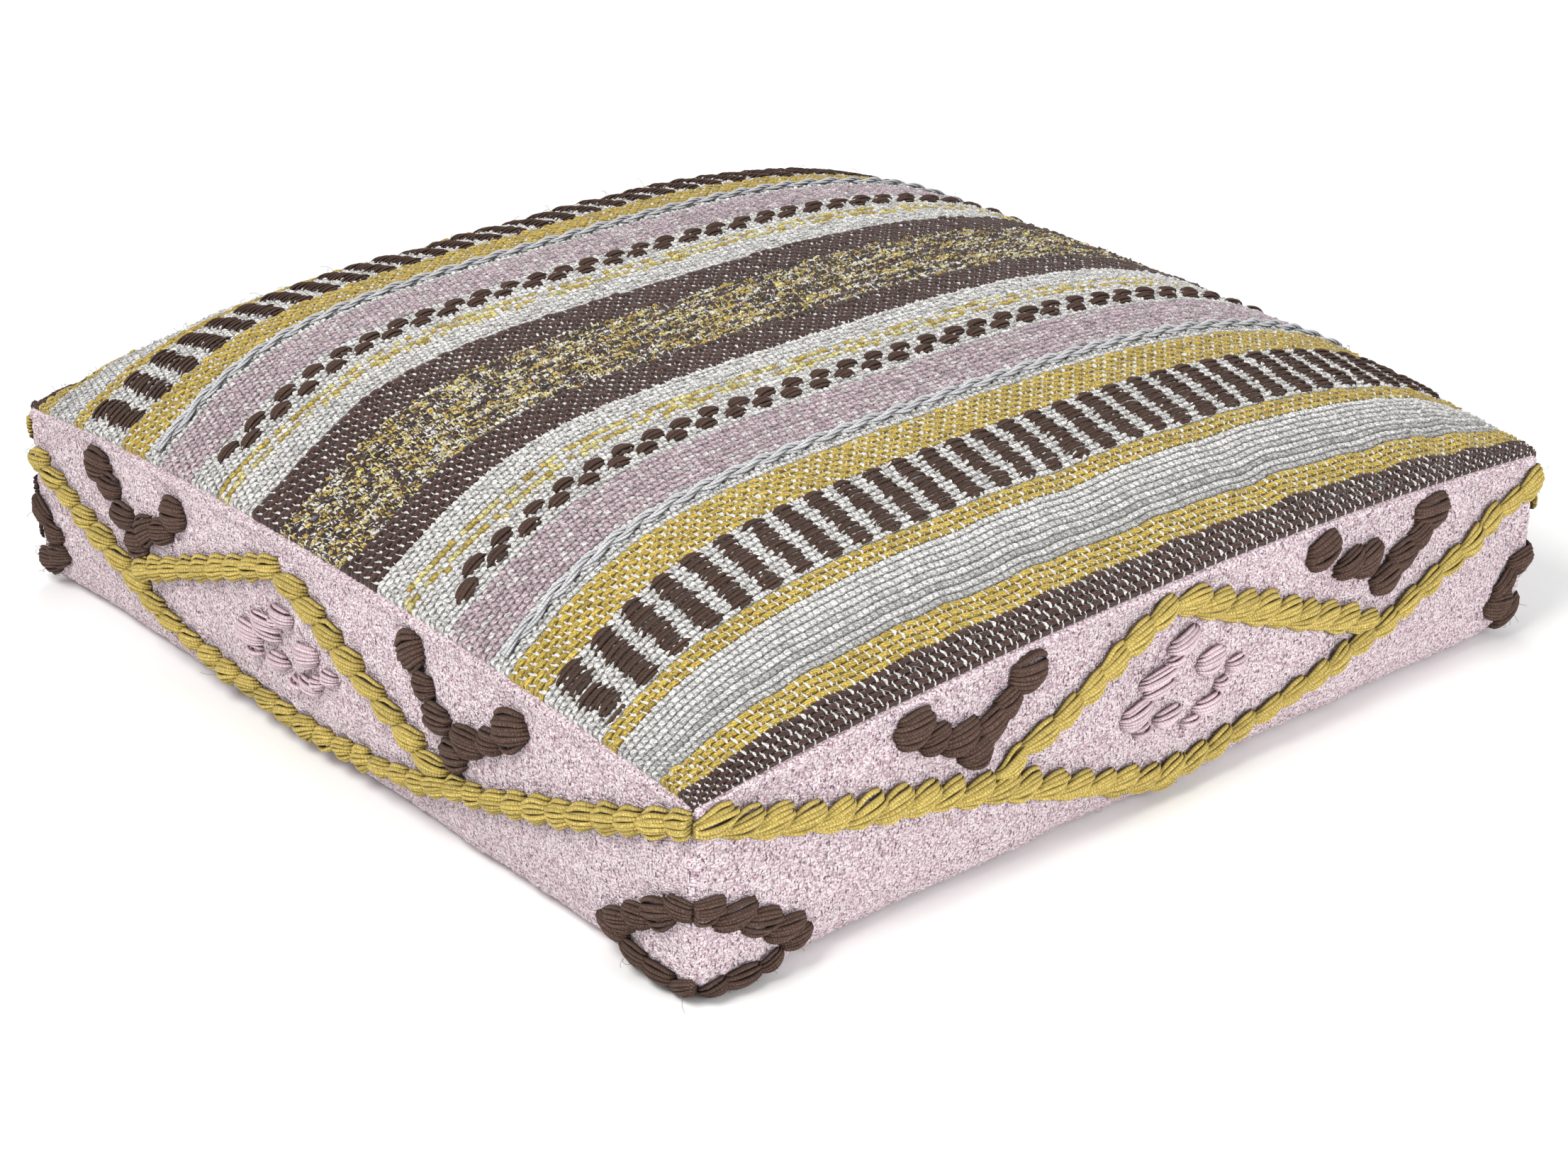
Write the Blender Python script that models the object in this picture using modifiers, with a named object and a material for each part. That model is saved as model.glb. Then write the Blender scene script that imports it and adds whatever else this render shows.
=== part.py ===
"""Square floor cushion: a zipped cover with a crowned striped top and four embroidered sides,
over a lined pad of loose fill.

Metres, +Z up. The origin is on the floor under the middle of the cushion. The stripes of the top
run along X, the front side faces -Y, and the zip lies low on the back side, facing +Y.
"""

import math

import bmesh
import bpy
from mathutils import Matrix, Vector

# Overall sizes of the cover
WIDTH = 0.600
DEPTH = 0.600
SEAM_HEIGHT = 0.110
CROWN = 0.0766

# Shape of the stuffed cover
RISE_FRONT = 0.0155
RISE_SIDE = 0.0175
BOW_FRONT = 0.0023
BOW_SIDE = 0.0046
BOW_START = 0.030
CREST_SHIFT_X = 0.103
CREST_SHIFT_Y = 0.020
TUCK_RADIUS = 0.008

# Cloth
TOP_THICKNESS = 0.0030
SIDE_THICKNESS = 0.0025
BASE_THICKNESS = 0.0020
LINER_THICKNESS = 0.0008
LINER_SPLIT = 0.050
PAD_CLEARANCE = 0.0030

# Embroidery
ROPE_HALF_WIDTH = 0.0060
ROPE_HEIGHT = 0.0050
BLOCK_HALF_WIDTH = 0.0075
BLOCK_HEIGHT = 0.0050
RING_HALF_WIDTH = 0.0055
CLUSTER_LENGTH = 0.090
CLUSTER_MARGIN = 0.017
CLUSTER_HEIGHT = 0.0035
BRANCH_CLEARANCE = 0.002

# Zip
ZIP_HEIGHT = 0.017
ZIP_SLOT = 0.0106
ZIP_LENGTH = 0.500
TAPE_THICKNESS = 0.0006
TAPE_UPPER = 0.014
TAPE_LOWER = 0.0080
TAPE_END_MARGIN = 0.010
COIL_WIDTH = 0.0026
COIL_THICKNESS = 0.0021
STOP_SIZE = (0.004, 0.0022, 0.0088)
SLIDER_LENGTH = 0.013
SLIDER_WIDTH = 0.0092
SLIDER_PLATE = 0.0012
SLIDER_POST = 0.0006
BAIL_SIZE = (0.0064, 0.0030, 0.0024)
BAIL_WINDOW = (0.0034, 0.0019)
PULL_BAR_RADIUS = 0.0006
PULL_LENGTH = 0.024
PULL_WIDTH = 0.0066
PULL_THICKNESS = 0.0012
PULL_REACH = 0.0045
PULL_ARM = 0.0014

# Fits
GAP = 0.0003
CHANNEL_CLEARANCE = 0.0004

# How finely the cloth is divided: STEPS cells across, closer together towards the edges
STEPS = 10
ARC_STEPS = 3
WALL_STEPS = 3

# Embroidery of one side, as (share of the half length, share of the seam's height)
FRONT_PATTERN = {
    "long_rope": [(-1, 0.94), (-0.80, 0.72), (-0.41, 0.45), (-0.12, 0.20), (0.04, 0.115),
                  (0.25, 0.18), (0.57, 0.40), (0.80, 0.66), (1, 0.88)],
    "peak_rope": [(-0.41, 0.45), (0.02, 0.93), (0.57, 0.40)],
    "vees": [[(-0.57, 0.88), (-0.43, 0.66), (-0.33, 0.89)],
             [(0.40, 0.87), (0.57, 0.64), (0.69, 0.89)]],
    "ring": [(1, 0.52), (0.78, 0.175), (1, 0.125)],
    "cluster": 0.05,
}
SIDE_PATTERN = {
    "long_rope": [(-1, 0.76), (-0.80, 0.56), (-0.65, 0.39), (-0.45, 0.19), (-0.07, 0.115),
                  (0.22, 0.20), (0.38, 0.33), (0.62, 0.51), (1, 0.93)],
    "peak_rope": [(-0.65, 0.39), (-0.10, 0.86), (0.38, 0.33)],
    "vees": [[(-0.72, 0.87), (-0.62, 0.62), (-0.45, 0.85)],
             [(0.28, 0.84), (0.38, 0.58), (0.56, 0.83)]],
    "ring": [(1, 0.52), (0.80, 0.175), (1, 0.125)],
    "cluster": -0.10,
}
# On the back the lowest points stay above the zip
BACK_FLOOR = 0.27

COLOURS = {
    "stripes": (0.55, 0.47, 0.33, 1),
    "pink": (0.66, 0.52, 0.53, 1),
    "base": (0.70, 0.64, 0.55, 1),
    "mustard": (0.56, 0.43, 0.11, 1),
    "brown": (0.045, 0.026, 0.021, 1),
    "liner": (0.80, 0.79, 0.76, 1),
    "fill": (0.90, 0.90, 0.89, 1),
    "tape": (0.68, 0.55, 0.55, 1),
    "nylon": (0.66, 0.52, 0.53, 1),
    "metal": (0.55, 0.53, 0.50, 1),
}


class Side:
    """One side of the cover, in a frame of its own: x along it, -y out of it, z up."""

    def __init__(self, name, quarter_turns, half, reach, rise, bow, pattern, floor):
        self.name = name
        self.turn = quarter_turns * math.pi / 2
        self.half = half
        self.reach = reach
        self.rise = rise
        self.bow = bow
        self.pattern = pattern
        self.floor = floor

    def seam(self, share):
        return SEAM_HEIGHT + self.rise * (1 - share * share)

    def cloth(self, along, height, out):
        """The point `out` from the cloth's outer face, at a place on the flat pattern."""
        share = max(-1, min(1, along / self.half))
        swell = max(0, height - BOW_START) / (SEAM_HEIGHT - BOW_START)
        angle = math.asin(min(1, max(0, (TUCK_RADIUS - height) / TUCK_RADIUS)))
        tuck = TUCK_RADIUS * (1 - math.cos(angle))
        face = self.reach - tuck + self.bow * (1 - share * share) * min(1, swell)
        x = share * (self.half - tuck - GAP)
        y = -(face + out * math.cos(angle))
        return Vector((x, y, max(GAP, height - out * math.sin(angle))))

    def place(self, share, height_share):
        """A pattern point in metres along the side and up it."""
        lifted = max(height_share, self.floor)
        return Vector((share * self.half, lifted * self.seam(share), 0))


SIDES = [
    Side("front", 0, WIDTH / 2, DEPTH / 2, RISE_FRONT, BOW_FRONT, FRONT_PATTERN, 0),
    Side("right", 1, DEPTH / 2, WIDTH / 2, RISE_SIDE, BOW_SIDE, SIDE_PATTERN, 0),
    Side("back", 2, WIDTH / 2, DEPTH / 2, RISE_FRONT, BOW_FRONT, FRONT_PATTERN, BACK_FLOOR),
    Side("left", 3, DEPTH / 2, WIDTH / 2, RISE_SIDE, BOW_SIDE, SIDE_PATTERN, 0),
]


def empty_the_file():
    for thing in list(bpy.data.objects):
        bpy.data.objects.remove(thing, do_unlink=True)


def new_collection(name):
    group = bpy.data.collections.new(name)
    bpy.context.scene.collection.children.link(group)
    return group


def new_material(name, colour, roughness=0.9, metallic=0.0):
    material = bpy.data.materials.new(name)
    material.use_nodes = True
    shader = material.node_tree.nodes["Principled BSDF"]
    shader.inputs["Base Color"].default_value = colour
    shader.inputs["Roughness"].default_value = roughness
    shader.inputs["Metallic"].default_value = metallic
    return material


def add_object(name, mesh, group, colour, roughness=0.9, metallic=0.0):
    thing = bpy.data.objects.new(name, mesh)
    group.objects.link(thing)
    if colour:
        mesh.materials.clear()
        mesh.materials.append(new_material(name, COLOURS[colour], roughness, metallic))
    return thing


def mesh_from(bm, name):
    bm.normal_update()
    bmesh.ops.recalc_face_normals(bm, faces=bm.faces)
    mesh = bpy.data.meshes.new(name)
    bm.to_mesh(mesh)
    bm.free()
    return mesh


def spread(value):
    """Moves an even division of -1 to 1 towards the ends, where the cloth turns sharply."""
    return math.sin(math.pi / 2 * value)


def dome(across, back):
    """Height of the top's outer face at shares of the half width and half depth."""
    x = abs(across + CREST_SHIFT_X * (1 - across ** 2))
    y = abs(back + CREST_SHIFT_Y * (1 - back ** 2))
    edge = RISE_FRONT * (1 - across ** 2) * back ** 4 + RISE_SIDE * (1 - back ** 2) * across ** 4
    swell = max(0, 1 - x ** 3.53) ** 0.806 * max(0, 1 - y ** 3.325) ** 0.683
    return SEAM_HEIGHT + edge + CROWN * swell


def slab(name, columns, rows, point):
    """A sheet with thickness: point(u, row, layer) places its corners, layer 0 being outside."""
    bm = bmesh.new()
    bmesh.ops.create_grid(bm, x_segments=columns, y_segments=rows, size=1)
    made = bmesh.ops.extrude_face_region(bm, geom=bm.faces[:], use_keep_orig=True)
    for vertex in made["geom"]:
        if isinstance(vertex, bmesh.types.BMVert):
            vertex.co.z = 1
    for vertex in bm.verts:
        row = round((vertex.co.y + 1) / 2 * rows)
        vertex.co = point(spread(vertex.co.x), row, vertex.co.z)
    return mesh_from(bm, name)


def tucked(angle, layer, thickness):
    """Inset and height on the rounded bottom edge; the angle runs from under it to the wall."""
    radius = TUCK_RADIUS - layer * thickness
    return TUCK_RADIUS - radius * math.sin(angle), TUCK_RADIUS - radius * math.cos(angle)


def make_top_panel(group):
    def point(u, row, layer):
        v = spread(2 * row / STEPS - 1)
        under = layer * TOP_THICKNESS
        x = u * (WIDTH / 2 + BOW_SIDE * (1 - v * v) * abs(u) ** 3 - under)
        y = v * (DEPTH / 2 + BOW_FRONT * (1 - u * u) * abs(v) ** 3 - under)
        return Vector((x, y, dome(u, v) - under))

    add_object("top_panel", slab("top_panel", STEPS, STEPS, point), group, "stripes")


def make_side_panel(side, group):
    tuck_rows = 0 if side.name == "back" else ARC_STEPS
    hem = ZIP_HEIGHT + ZIP_SLOT / 2

    def point(u, row, layer):
        under = layer * SIDE_THICKNESS
        if row < tuck_rows:
            inset, height = tucked(math.pi / 2 * row / ARC_STEPS, layer, SIDE_THICKNESS)
        else:
            low = TUCK_RADIUS if tuck_rows else hem
            high = side.seam(u) - 2 * GAP - under
            inset = under
            height = low + (high - low) * (row - tuck_rows) / WALL_STEPS
        swell = max(0, height + under - BOW_START) / (SEAM_HEIGHT - BOW_START)
        face = side.reach - inset + side.bow * (1 - u * u) * min(1, swell)
        return Vector((u * (side.half - inset - GAP), -face, height))

    mesh = slab("side_panel_" + side.name, STEPS, tuck_rows + WALL_STEPS, point)
    panel = add_object("side_panel_" + side.name, mesh, group, "pink")
    panel.rotation_euler.z = side.turn


def make_bottom_panel(group):
    """Flat underside, turned up at the back to meet the zip."""
    flat_rows = 2
    front = -(DEPTH / 2 - TUCK_RADIUS - GAP)
    back = DEPTH / 2 - TUCK_RADIUS
    hem = ZIP_HEIGHT - ZIP_SLOT / 2

    def point(u, row, layer):
        if row <= flat_rows:
            inset, height = TUCK_RADIUS, layer * BASE_THICKNESS
            y = front + (back - front) * row / flat_rows
        elif row <= flat_rows + ARC_STEPS:
            angle = math.pi / 2 * (row - flat_rows) / ARC_STEPS
            inset, height = tucked(angle, layer, BASE_THICKNESS)
            y = DEPTH / 2 - inset
        else:
            inset, height = layer * BASE_THICKNESS, hem
            y = DEPTH / 2 - inset
        return Vector((u * (WIDTH / 2 - inset - GAP), y, height))

    mesh = slab("bottom_panel", 2, flat_rows + ARC_STEPS + 1, point)
    add_object("bottom_panel", mesh, group, "base")


def pad_shape(clearance, sink, base, split):
    """Closed skin of the pad at a distance inside the cover, with a ring of edges at split."""
    levels = ARC_STEPS + 1
    bm = bmesh.new()
    bmesh.ops.create_cube(bm, size=2)
    bmesh.ops.subdivide_edges(bm, edges=bm.edges[:], cuts=STEPS - 1, use_grid_fill=True)
    for vertex in bm.verts:
        u, v = spread(vertex.co.x), spread(vertex.co.y)
        level = round((vertex.co.z + 1) / 2 * STEPS)
        top = dome(u, v) - sink
        inset = 0
        if level <= ARC_STEPS:
            inset, height = tucked(math.pi / 2 * level / ARC_STEPS, 0, 0)
            height += base
        else:
            height = split + (top - split) * (level - levels) / (STEPS - levels)
        x = u * (WIDTH / 2 - clearance - inset)
        y = v * (DEPTH / 2 - clearance - inset)
        vertex.co = Vector((x, y, height))
    return bm


def make_pad(group):
    clearance = SIDE_THICKNESS + PAD_CLEARANCE
    sink = TOP_THICKNESS + GAP
    base = BASE_THICKNESS + GAP
    for part, keep_upper in (("pad_liner_upper", True), ("pad_liner_lower", False)):
        split = LINER_SPLIT + GAP / 2 * (1 if keep_upper else -1)
        bm = pad_shape(clearance, sink, base, split)
        spare = [f for f in bm.faces if (f.calc_center_median().z > split) != keep_upper]
        bmesh.ops.delete(bm, geom=spare, context="FACES")
        liner = add_object(part, mesh_from(bm, part), group, "liner")
        shell = liner.modifiers.new("thickness", "SOLIDIFY")
        shell.thickness = LINER_THICKNESS
        shell.offset = -1
        shell.use_even_offset = True
    inside = LINER_THICKNESS + 2 * GAP
    bm = pad_shape(clearance + inside, sink + inside, base + inside, LINER_SPLIT)
    add_object("fill_pad", mesh_from(bm, "fill_pad"), group, "fill")


def tube(points, half_width):
    """Mesh of a round cord through points on the flat pattern."""
    curve = bpy.data.curves.new("cord", "CURVE")
    curve.dimensions = "3D"
    curve.bevel_depth = half_width
    curve.bevel_resolution = 1
    curve.use_fill_caps = True
    spline = curve.splines.new("POLY")
    spline.points.add(len(points) - 1)
    for target, point in zip(spline.points, points):
        target.co = (point.x, point.y, 0, 1)
    cord = bpy.data.objects.new("cord", curve)
    bpy.context.scene.collection.objects.link(cord)
    seen = cord.evaluated_get(bpy.context.evaluated_depsgraph_get())
    mesh = bpy.data.meshes.new_from_object(seen)
    bm = bmesh.new()
    bm.from_mesh(mesh)
    bmesh.ops.remove_doubles(bm, verts=bm.verts, dist=0.00001)
    bpy.data.objects.remove(cord)
    bpy.data.curves.remove(curve)
    bpy.data.meshes.remove(mesh)
    return bm


def smooth_path(corners, pieces):
    """Points of a curve that passes through every corner."""
    ends = [2 * corners[0] - corners[1], *corners, 2 * corners[-1] - corners[-2]]
    path = [corners[0]]
    for a, b, c, d in zip(ends, ends[1:], ends[2:], ends[3:]):
        for k in range(1, pieces + 1):
            t = k / pieces
            bend = (2 * a - 5 * b + 4 * c - d) * t * t + (3 * b - a - 3 * c + d) * t ** 3
            path.append((2 * b + (c - a) * t + bend) / 2)
    return path


def straight_path(corners, pieces):
    path = [corners[0]]
    for a, b in zip(corners, corners[1:]):
        path += [a.lerp(b, k / pieces) for k in range(1, pieces + 1)]
    return path


def embroider(side, name, bm, half_width, height, group, colour):
    """Lays a flat shape on the side's cloth, its thickness squeezed to the raised height."""
    for vertex in bm.verts:
        out = GAP + height * (vertex.co.z / half_width + 1) / 2
        vertex.co = side.cloth(vertex.co.x, vertex.co.y, out)
    full_name = f"{name}_{side.name}"
    piece = add_object(full_name, mesh_from(bm, full_name), group, colour)
    piece.rotation_euler.z = side.turn


def branch_start(junction, towards, beside):
    """Where a rope's end is clear of the rope that it branches from."""
    way = (towards - junction).normalized()
    angle = way.angle(beside - junction)
    clear = ROPE_HALF_WIDTH * (1 + math.cos(angle)) + BRANCH_CLEARANCE
    return junction + way * clear / math.sin(angle)


def make_ropes(side, group):
    corners = [side.place(*share) for share in side.pattern["long_rope"]]
    bm = tube(smooth_path(corners, 2), ROPE_HALF_WIDTH)
    embroider(side, "rope_long", bm, ROPE_HALF_WIDTH, ROPE_HEIGHT, group, "mustard")

    first, peak, last = [side.place(*share) for share in side.pattern["peak_rope"]]
    start = branch_start(first, peak, corners[corners.index(first) + 1])
    finish = branch_start(last, peak, corners[corners.index(last) - 1])
    bm = tube(straight_path([start, peak, finish], 4), ROPE_HALF_WIDTH)
    embroider(side, "rope_peak", bm, ROPE_HALF_WIDTH, ROPE_HEIGHT, group, "mustard")


def make_blocks(side, group):
    for which, shares in zip(("a", "b"), side.pattern["vees"]):
        corners = [side.place(*share) for share in shares]
        bm = tube(straight_path(corners, 2), BLOCK_HALF_WIDTH)
        embroider(side, f"vee_{which}", bm, BLOCK_HALF_WIDTH, BLOCK_HEIGHT, group, "brown")
    for end, sign in (("near", -1), ("far", 1)):
        shares = side.pattern["ring"]
        corners = [side.place(share * sign, height) for share, height in shares]
        if side.floor:
            lift = side.floor * side.seam(1) - corners[-1].y + BLOCK_HALF_WIDTH
            corners[-1].y += BLOCK_HALF_WIDTH - RING_HALF_WIDTH
            corners[1].y += lift / 2
        bm = tube(straight_path(corners, 3), RING_HALF_WIDTH)
        embroider(side, f"ring_{end}", bm, RING_HALF_WIDTH, BLOCK_HEIGHT, group, "brown")


def make_cluster(side, group):
    bm = bmesh.new()
    bmesh.ops.create_uvsphere(bm, u_segments=12, v_segments=6, radius=1)
    peak = side.place(*side.pattern["peak_rope"][1]).y
    low = min(side.place(*share).y for share in side.pattern["long_rope"])
    across = side.half * side.pattern["cluster"]
    up = peak - low - 2 * ROPE_HALF_WIDTH - 2 * CLUSTER_MARGIN
    for vertex in bm.verts:
        vertex.co.x = across + vertex.co.x * CLUSTER_LENGTH / 2
        vertex.co.y = (peak + low + vertex.co.y * up) / 2
    embroider(side, "cluster", bm, 1, CLUSTER_HEIGHT, group, "pink")


def block(name, low, high):
    """Mesh of a box between two corners."""
    bm = bmesh.new()
    size = [b - a for a, b in zip(low, high)]
    middle = [(a + b) / 2 for a, b in zip(low, high)]
    matrix = Matrix.Translation(middle) @ Matrix.Diagonal((*size, 1))
    bmesh.ops.create_cube(bm, size=1, matrix=matrix)
    return mesh_from(bm, name)


def add_cutter(name, mesh, owner, cutters, operation):
    """A hidden shape that is cut from its owner, or joined to it."""
    cutter = add_object(name, mesh, cutters, None)
    cutter.parent = owner
    cutter.hide_render = True
    cutter.display_type = "WIRE"
    step = owner.modifiers.new(name, "BOOLEAN")
    step.operation = operation
    step.solver = "EXACT"
    step.object = cutter


CHAIN_SLOT = SLIDER_POST / 2 + GAP
TAPE_FRONT = DEPTH / 2 - SIDE_THICKNESS - GAP
CHAIN_FRONT = TAPE_FRONT + GAP + COIL_THICKNESS
PLATE_FRONT = CHAIN_FRONT + GAP + SLIDER_PLATE
PULL_AXIS_OUT = PLATE_FRONT + BAIL_WINDOW[1] / 2
SLIDER_X = ZIP_LENGTH / 2 - SLIDER_LENGTH / 2 - GAP


def make_chain(group):
    half = ZIP_LENGTH / 2
    tape_half = WIDTH / 2 - TAPE_END_MARGIN
    for name, sign, width in (("upper", 1, TAPE_UPPER), ("lower", -1, TAPE_LOWER)):
        edges = sorted((sign * CHAIN_SLOT, sign * (CHAIN_SLOT + width)))
        low = (-tape_half, TAPE_FRONT - TAPE_THICKNESS, ZIP_HEIGHT + edges[0])
        high = (tape_half, TAPE_FRONT, ZIP_HEIGHT + edges[1])
        add_object("zip_tape_" + name, block("zip_tape", low, high), group, "tape")

        edges = sorted((sign * CHAIN_SLOT, sign * (CHAIN_SLOT + COIL_WIDTH)))
        low = (-half, TAPE_FRONT + GAP, ZIP_HEIGHT + edges[0])
        high = (half, CHAIN_FRONT, ZIP_HEIGHT + edges[1])
        coil = add_object("zip_coil_" + name, block("zip_coil", low, high), group, "nylon", 0.5)
        rounding = coil.modifiers.new("rounding", "BEVEL")
        rounding.width = COIL_THICKNESS / 5
        rounding.segments = 2
    for name, sign in (("closed", 1), ("open", -1)):
        length, thickness, height = STOP_SIZE
        ends = sorted((sign * (half + GAP), sign * (half + GAP + length)))
        low = (ends[0], TAPE_FRONT + GAP, ZIP_HEIGHT - height / 2)
        high = (ends[1], TAPE_FRONT + GAP + thickness, ZIP_HEIGHT + height / 2)
        mesh = block("zip_stop", low, high)
        add_object("zip_stop_" + name, mesh, group, "metal", 0.35, 1.0)


def make_slider(group, cutters):
    """Two plates joined by a post between the chain's halves, with a bail for the pull."""
    back = TAPE_FRONT - TAPE_THICKNESS - GAP
    half_length, half_width = SLIDER_LENGTH / 2, SLIDER_WIDTH / 2
    low = (-half_length, back - SLIDER_PLATE, -half_width)
    high = (half_length, PLATE_FRONT, half_width)
    slider = add_object("zip_slider", block("zip_slider", low, high), group, "metal", 0.35, 1.0)
    slider.location = (SLIDER_X, 0, ZIP_HEIGHT)

    past = 2 * half_length
    channel = CHAIN_SLOT + COIL_WIDTH + CHANNEL_CLEARANCE
    cuts = (("chain_channel", channel, CHAIN_FRONT + GAP), ("tape_slot", past, TAPE_FRONT + GAP))
    for name, reach, front in cuts:
        for sign in (1, -1):
            edges = sorted((sign * SLIDER_POST / 2, sign * reach))
            mesh = block(name, (-past, back, edges[0]), (past, front, edges[1]))
            add_cutter(name, mesh, slider, cutters, "DIFFERENCE")

    length, height, width = BAIL_SIZE
    low = (-length / 2, PLATE_FRONT - GAP, -width / 2)
    high = (length / 2, PLATE_FRONT + height, width / 2)
    add_cutter("bail", block("bail", low, high), slider, cutters, "UNION")
    opening, clear = BAIL_WINDOW
    low = (-opening / 2, PLATE_FRONT, -width)
    high = (opening / 2, PLATE_FRONT + clear, width)
    add_cutter("bail_window", block("bail_window", low, high), slider, cutters, "DIFFERENCE")
    return slider


def make_pull(group, cutters):
    """A tab whose cross bar turns inside the slider's bail."""
    half_width = PULL_WIDTH / 2
    half_thickness = PULL_THICKNESS / 2
    low = (-PULL_LENGTH, -half_thickness, -half_width)
    high = (0, half_thickness, half_width)
    pull = add_object("zip_pull", block("zip_pull", low, high), group, "metal", 0.35, 1.0)
    pull.location = (SLIDER_X, PULL_AXIS_OUT, ZIP_HEIGHT)

    inner = half_width - PULL_ARM
    low = (-PULL_REACH, -PULL_THICKNESS, -inner)
    high = (PULL_THICKNESS, PULL_THICKNESS, inner)
    add_cutter("pull_eye", block("pull_eye", low, high), pull, cutters, "DIFFERENCE")

    bm = bmesh.new()
    bmesh.ops.create_cone(
        bm, cap_ends=True, segments=16, radius1=PULL_BAR_RADIUS, radius2=PULL_BAR_RADIUS,
        depth=2 * (half_width - PULL_ARM / 2),
    )
    add_cutter("pull_bar", mesh_from(bm, "pull_bar"), pull, cutters, "UNION")


def main():
    empty_the_file()
    group = new_collection("floor_cushion")
    cutters = new_collection("cutters")
    make_top_panel(group)
    make_bottom_panel(group)
    make_pad(group)
    for side in SIDES:
        make_side_panel(side, group)
        make_ropes(side, group)
        make_blocks(side, group)
        make_cluster(side, group)
    make_chain(group)
    make_slider(group, cutters)
    make_pull(group, cutters)


main()
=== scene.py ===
"""Visual model of the square floor cushion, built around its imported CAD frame.

Metres, +Z up. The stripes run along X and the front side faces -Y. The surfaces repeat the
CAD model's formulas, so that every piece lies where its CAD node does.
"""

import math
from functools import partialmethod

import bmesh
import bpy
import numpy as np
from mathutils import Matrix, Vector


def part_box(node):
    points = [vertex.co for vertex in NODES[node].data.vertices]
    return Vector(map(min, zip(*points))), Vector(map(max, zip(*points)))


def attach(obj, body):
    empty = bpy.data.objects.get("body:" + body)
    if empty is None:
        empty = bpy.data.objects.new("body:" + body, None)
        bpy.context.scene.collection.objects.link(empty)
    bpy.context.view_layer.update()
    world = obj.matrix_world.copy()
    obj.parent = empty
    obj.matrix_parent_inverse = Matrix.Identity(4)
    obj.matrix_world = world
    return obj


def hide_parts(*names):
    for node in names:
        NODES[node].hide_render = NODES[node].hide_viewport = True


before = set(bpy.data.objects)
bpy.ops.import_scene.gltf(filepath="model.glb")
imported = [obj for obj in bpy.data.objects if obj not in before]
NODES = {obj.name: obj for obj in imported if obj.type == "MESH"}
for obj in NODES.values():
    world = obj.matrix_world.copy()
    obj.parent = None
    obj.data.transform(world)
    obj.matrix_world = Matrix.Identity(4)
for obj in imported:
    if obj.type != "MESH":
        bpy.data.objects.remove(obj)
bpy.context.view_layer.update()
RNG = np.random.default_rng(11)

# Shape of the cover, as in the CAD source
HALF = 0.300
SEAM_HEIGHT = 0.110
CROWN = 0.0766
RISE_FRONT, RISE_SIDE = 0.0155, 0.0175
BOW_FRONT, BOW_SIDE = 0.0023, 0.0046
BOW_START = 0.030
CORNER_PULL, CORNER_PULL_HEIGHT = 0.005, 0.050
CREST_SHIFT_X, CREST_SHIFT_Y = 0.103, 0.020
ROUND_FRONT, ROUND_BACK = 0.018, 0.008
ZIP_HEIGHT = 0.017
HEM_UPPER, HEM_LOWER = 0.0223, 0.0117
TAPE_FRONT = 0.2972
CHAIN_SLOT = 0.0006

# Weave of the top
ROW_PITCH = 0.0038
BEAD_PITCH = 0.0077
ROW_CELLS, BEAD_CELLS = 4, 6
ROUND_BEADS = ("brown", "mustard")

RING_WIDE = [(1, 0.55), (0.89, 0.37), (0.785, 0.17), (0.87, 0.075), (1, 0.06)]
RING_SLIM = [(1, 0.47), (0.94, 0.37), (0.915, 0.27), (0.94, 0.17), (1, 0.13)]
FRONT_PATTERN = {
    "long_rope": [(-1, 0.94), (-0.80, 0.72), (-0.41, 0.45), (-0.12, 0.20), (0.04, 0.115),
                  (0.25, 0.18), (0.57, 0.40), (0.80, 0.66), (1, 0.88)],
    "peak_rope": [(-0.41, 0.45), (0.02, 0.93), (0.57, 0.40)],
    "vees": [[(-0.57, 0.88), (-0.43, 0.66), (-0.33, 0.89)],
             [(0.40, 0.87), (0.57, 0.64), (0.69, 0.89)]],
    "ring": (RING_WIDE, RING_SLIM),
    "cluster": (0.05, 0.45, 0.96, 1.0),
}
SIDE_PATTERN = {
    "long_rope": [(-1, 0.76), (-0.80, 0.56), (-0.65, 0.39), (-0.45, 0.19), (-0.07, 0.115),
                  (0.22, 0.20), (0.38, 0.33), (0.62, 0.51), (1, 0.93)],
    "peak_rope": [(-0.65, 0.39), (-0.10, 0.86), (0.38, 0.33)],
    "vees": [[(-0.72, 0.87), (-0.60, 0.56), (-0.45, 0.82)],
             [(0.28, 0.84), (0.40, 0.50), (0.56, 0.78)]],
    "ring": (RING_SLIM, RING_WIDE),
    "cluster": (-0.10, 0.43, 1.04, 0.86),
}
BACK_FLOOR = 0.27

# Satin blobs of a cluster: place from its middle, length, width (mm) and number of strands
CLUSTER_BLOBS = [
    (0, 27, 25, 13, 6), (-8, 17, 12, 7, 4), (22, 6, 21, 15, 7), (41, -3, 13, 9, 5),
    (-18, 10, 28, 10, 6), (-18, 1, 24, 7, 4), (-34, -9, 24, 15, 7), (-9, -20, 18, 11, 5),
    (21, -23, 21, 10, 5), (31, -13, 9, 8, 4), (8, -30, 13, 6, 3), (-29, -22, 13, 6, 3),
]


def linear(red, green, blue):
    """Scene-linear colour of an 8-bit display colour."""
    shares = np.array([red, green, blue]) / 255
    return np.where(shares <= 0.04045, shares / 12.92, ((shares + 0.055) / 1.055) ** 2.4)


WHITE = linear(229, 227, 224)
GREY = linear(120, 119, 122)
PINK = linear(200, 181, 188)
MUSTARD = linear(194, 168, 80)
STRAW = linear(222, 210, 142)
BROWN = linear(80, 57, 52)
CHARCOAL = linear(52, 44, 44)


# ---- surfaces

def smooth_step(value):
    value = np.clip(value, 0, 1)
    return value * value * (3 - 2 * value)


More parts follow.
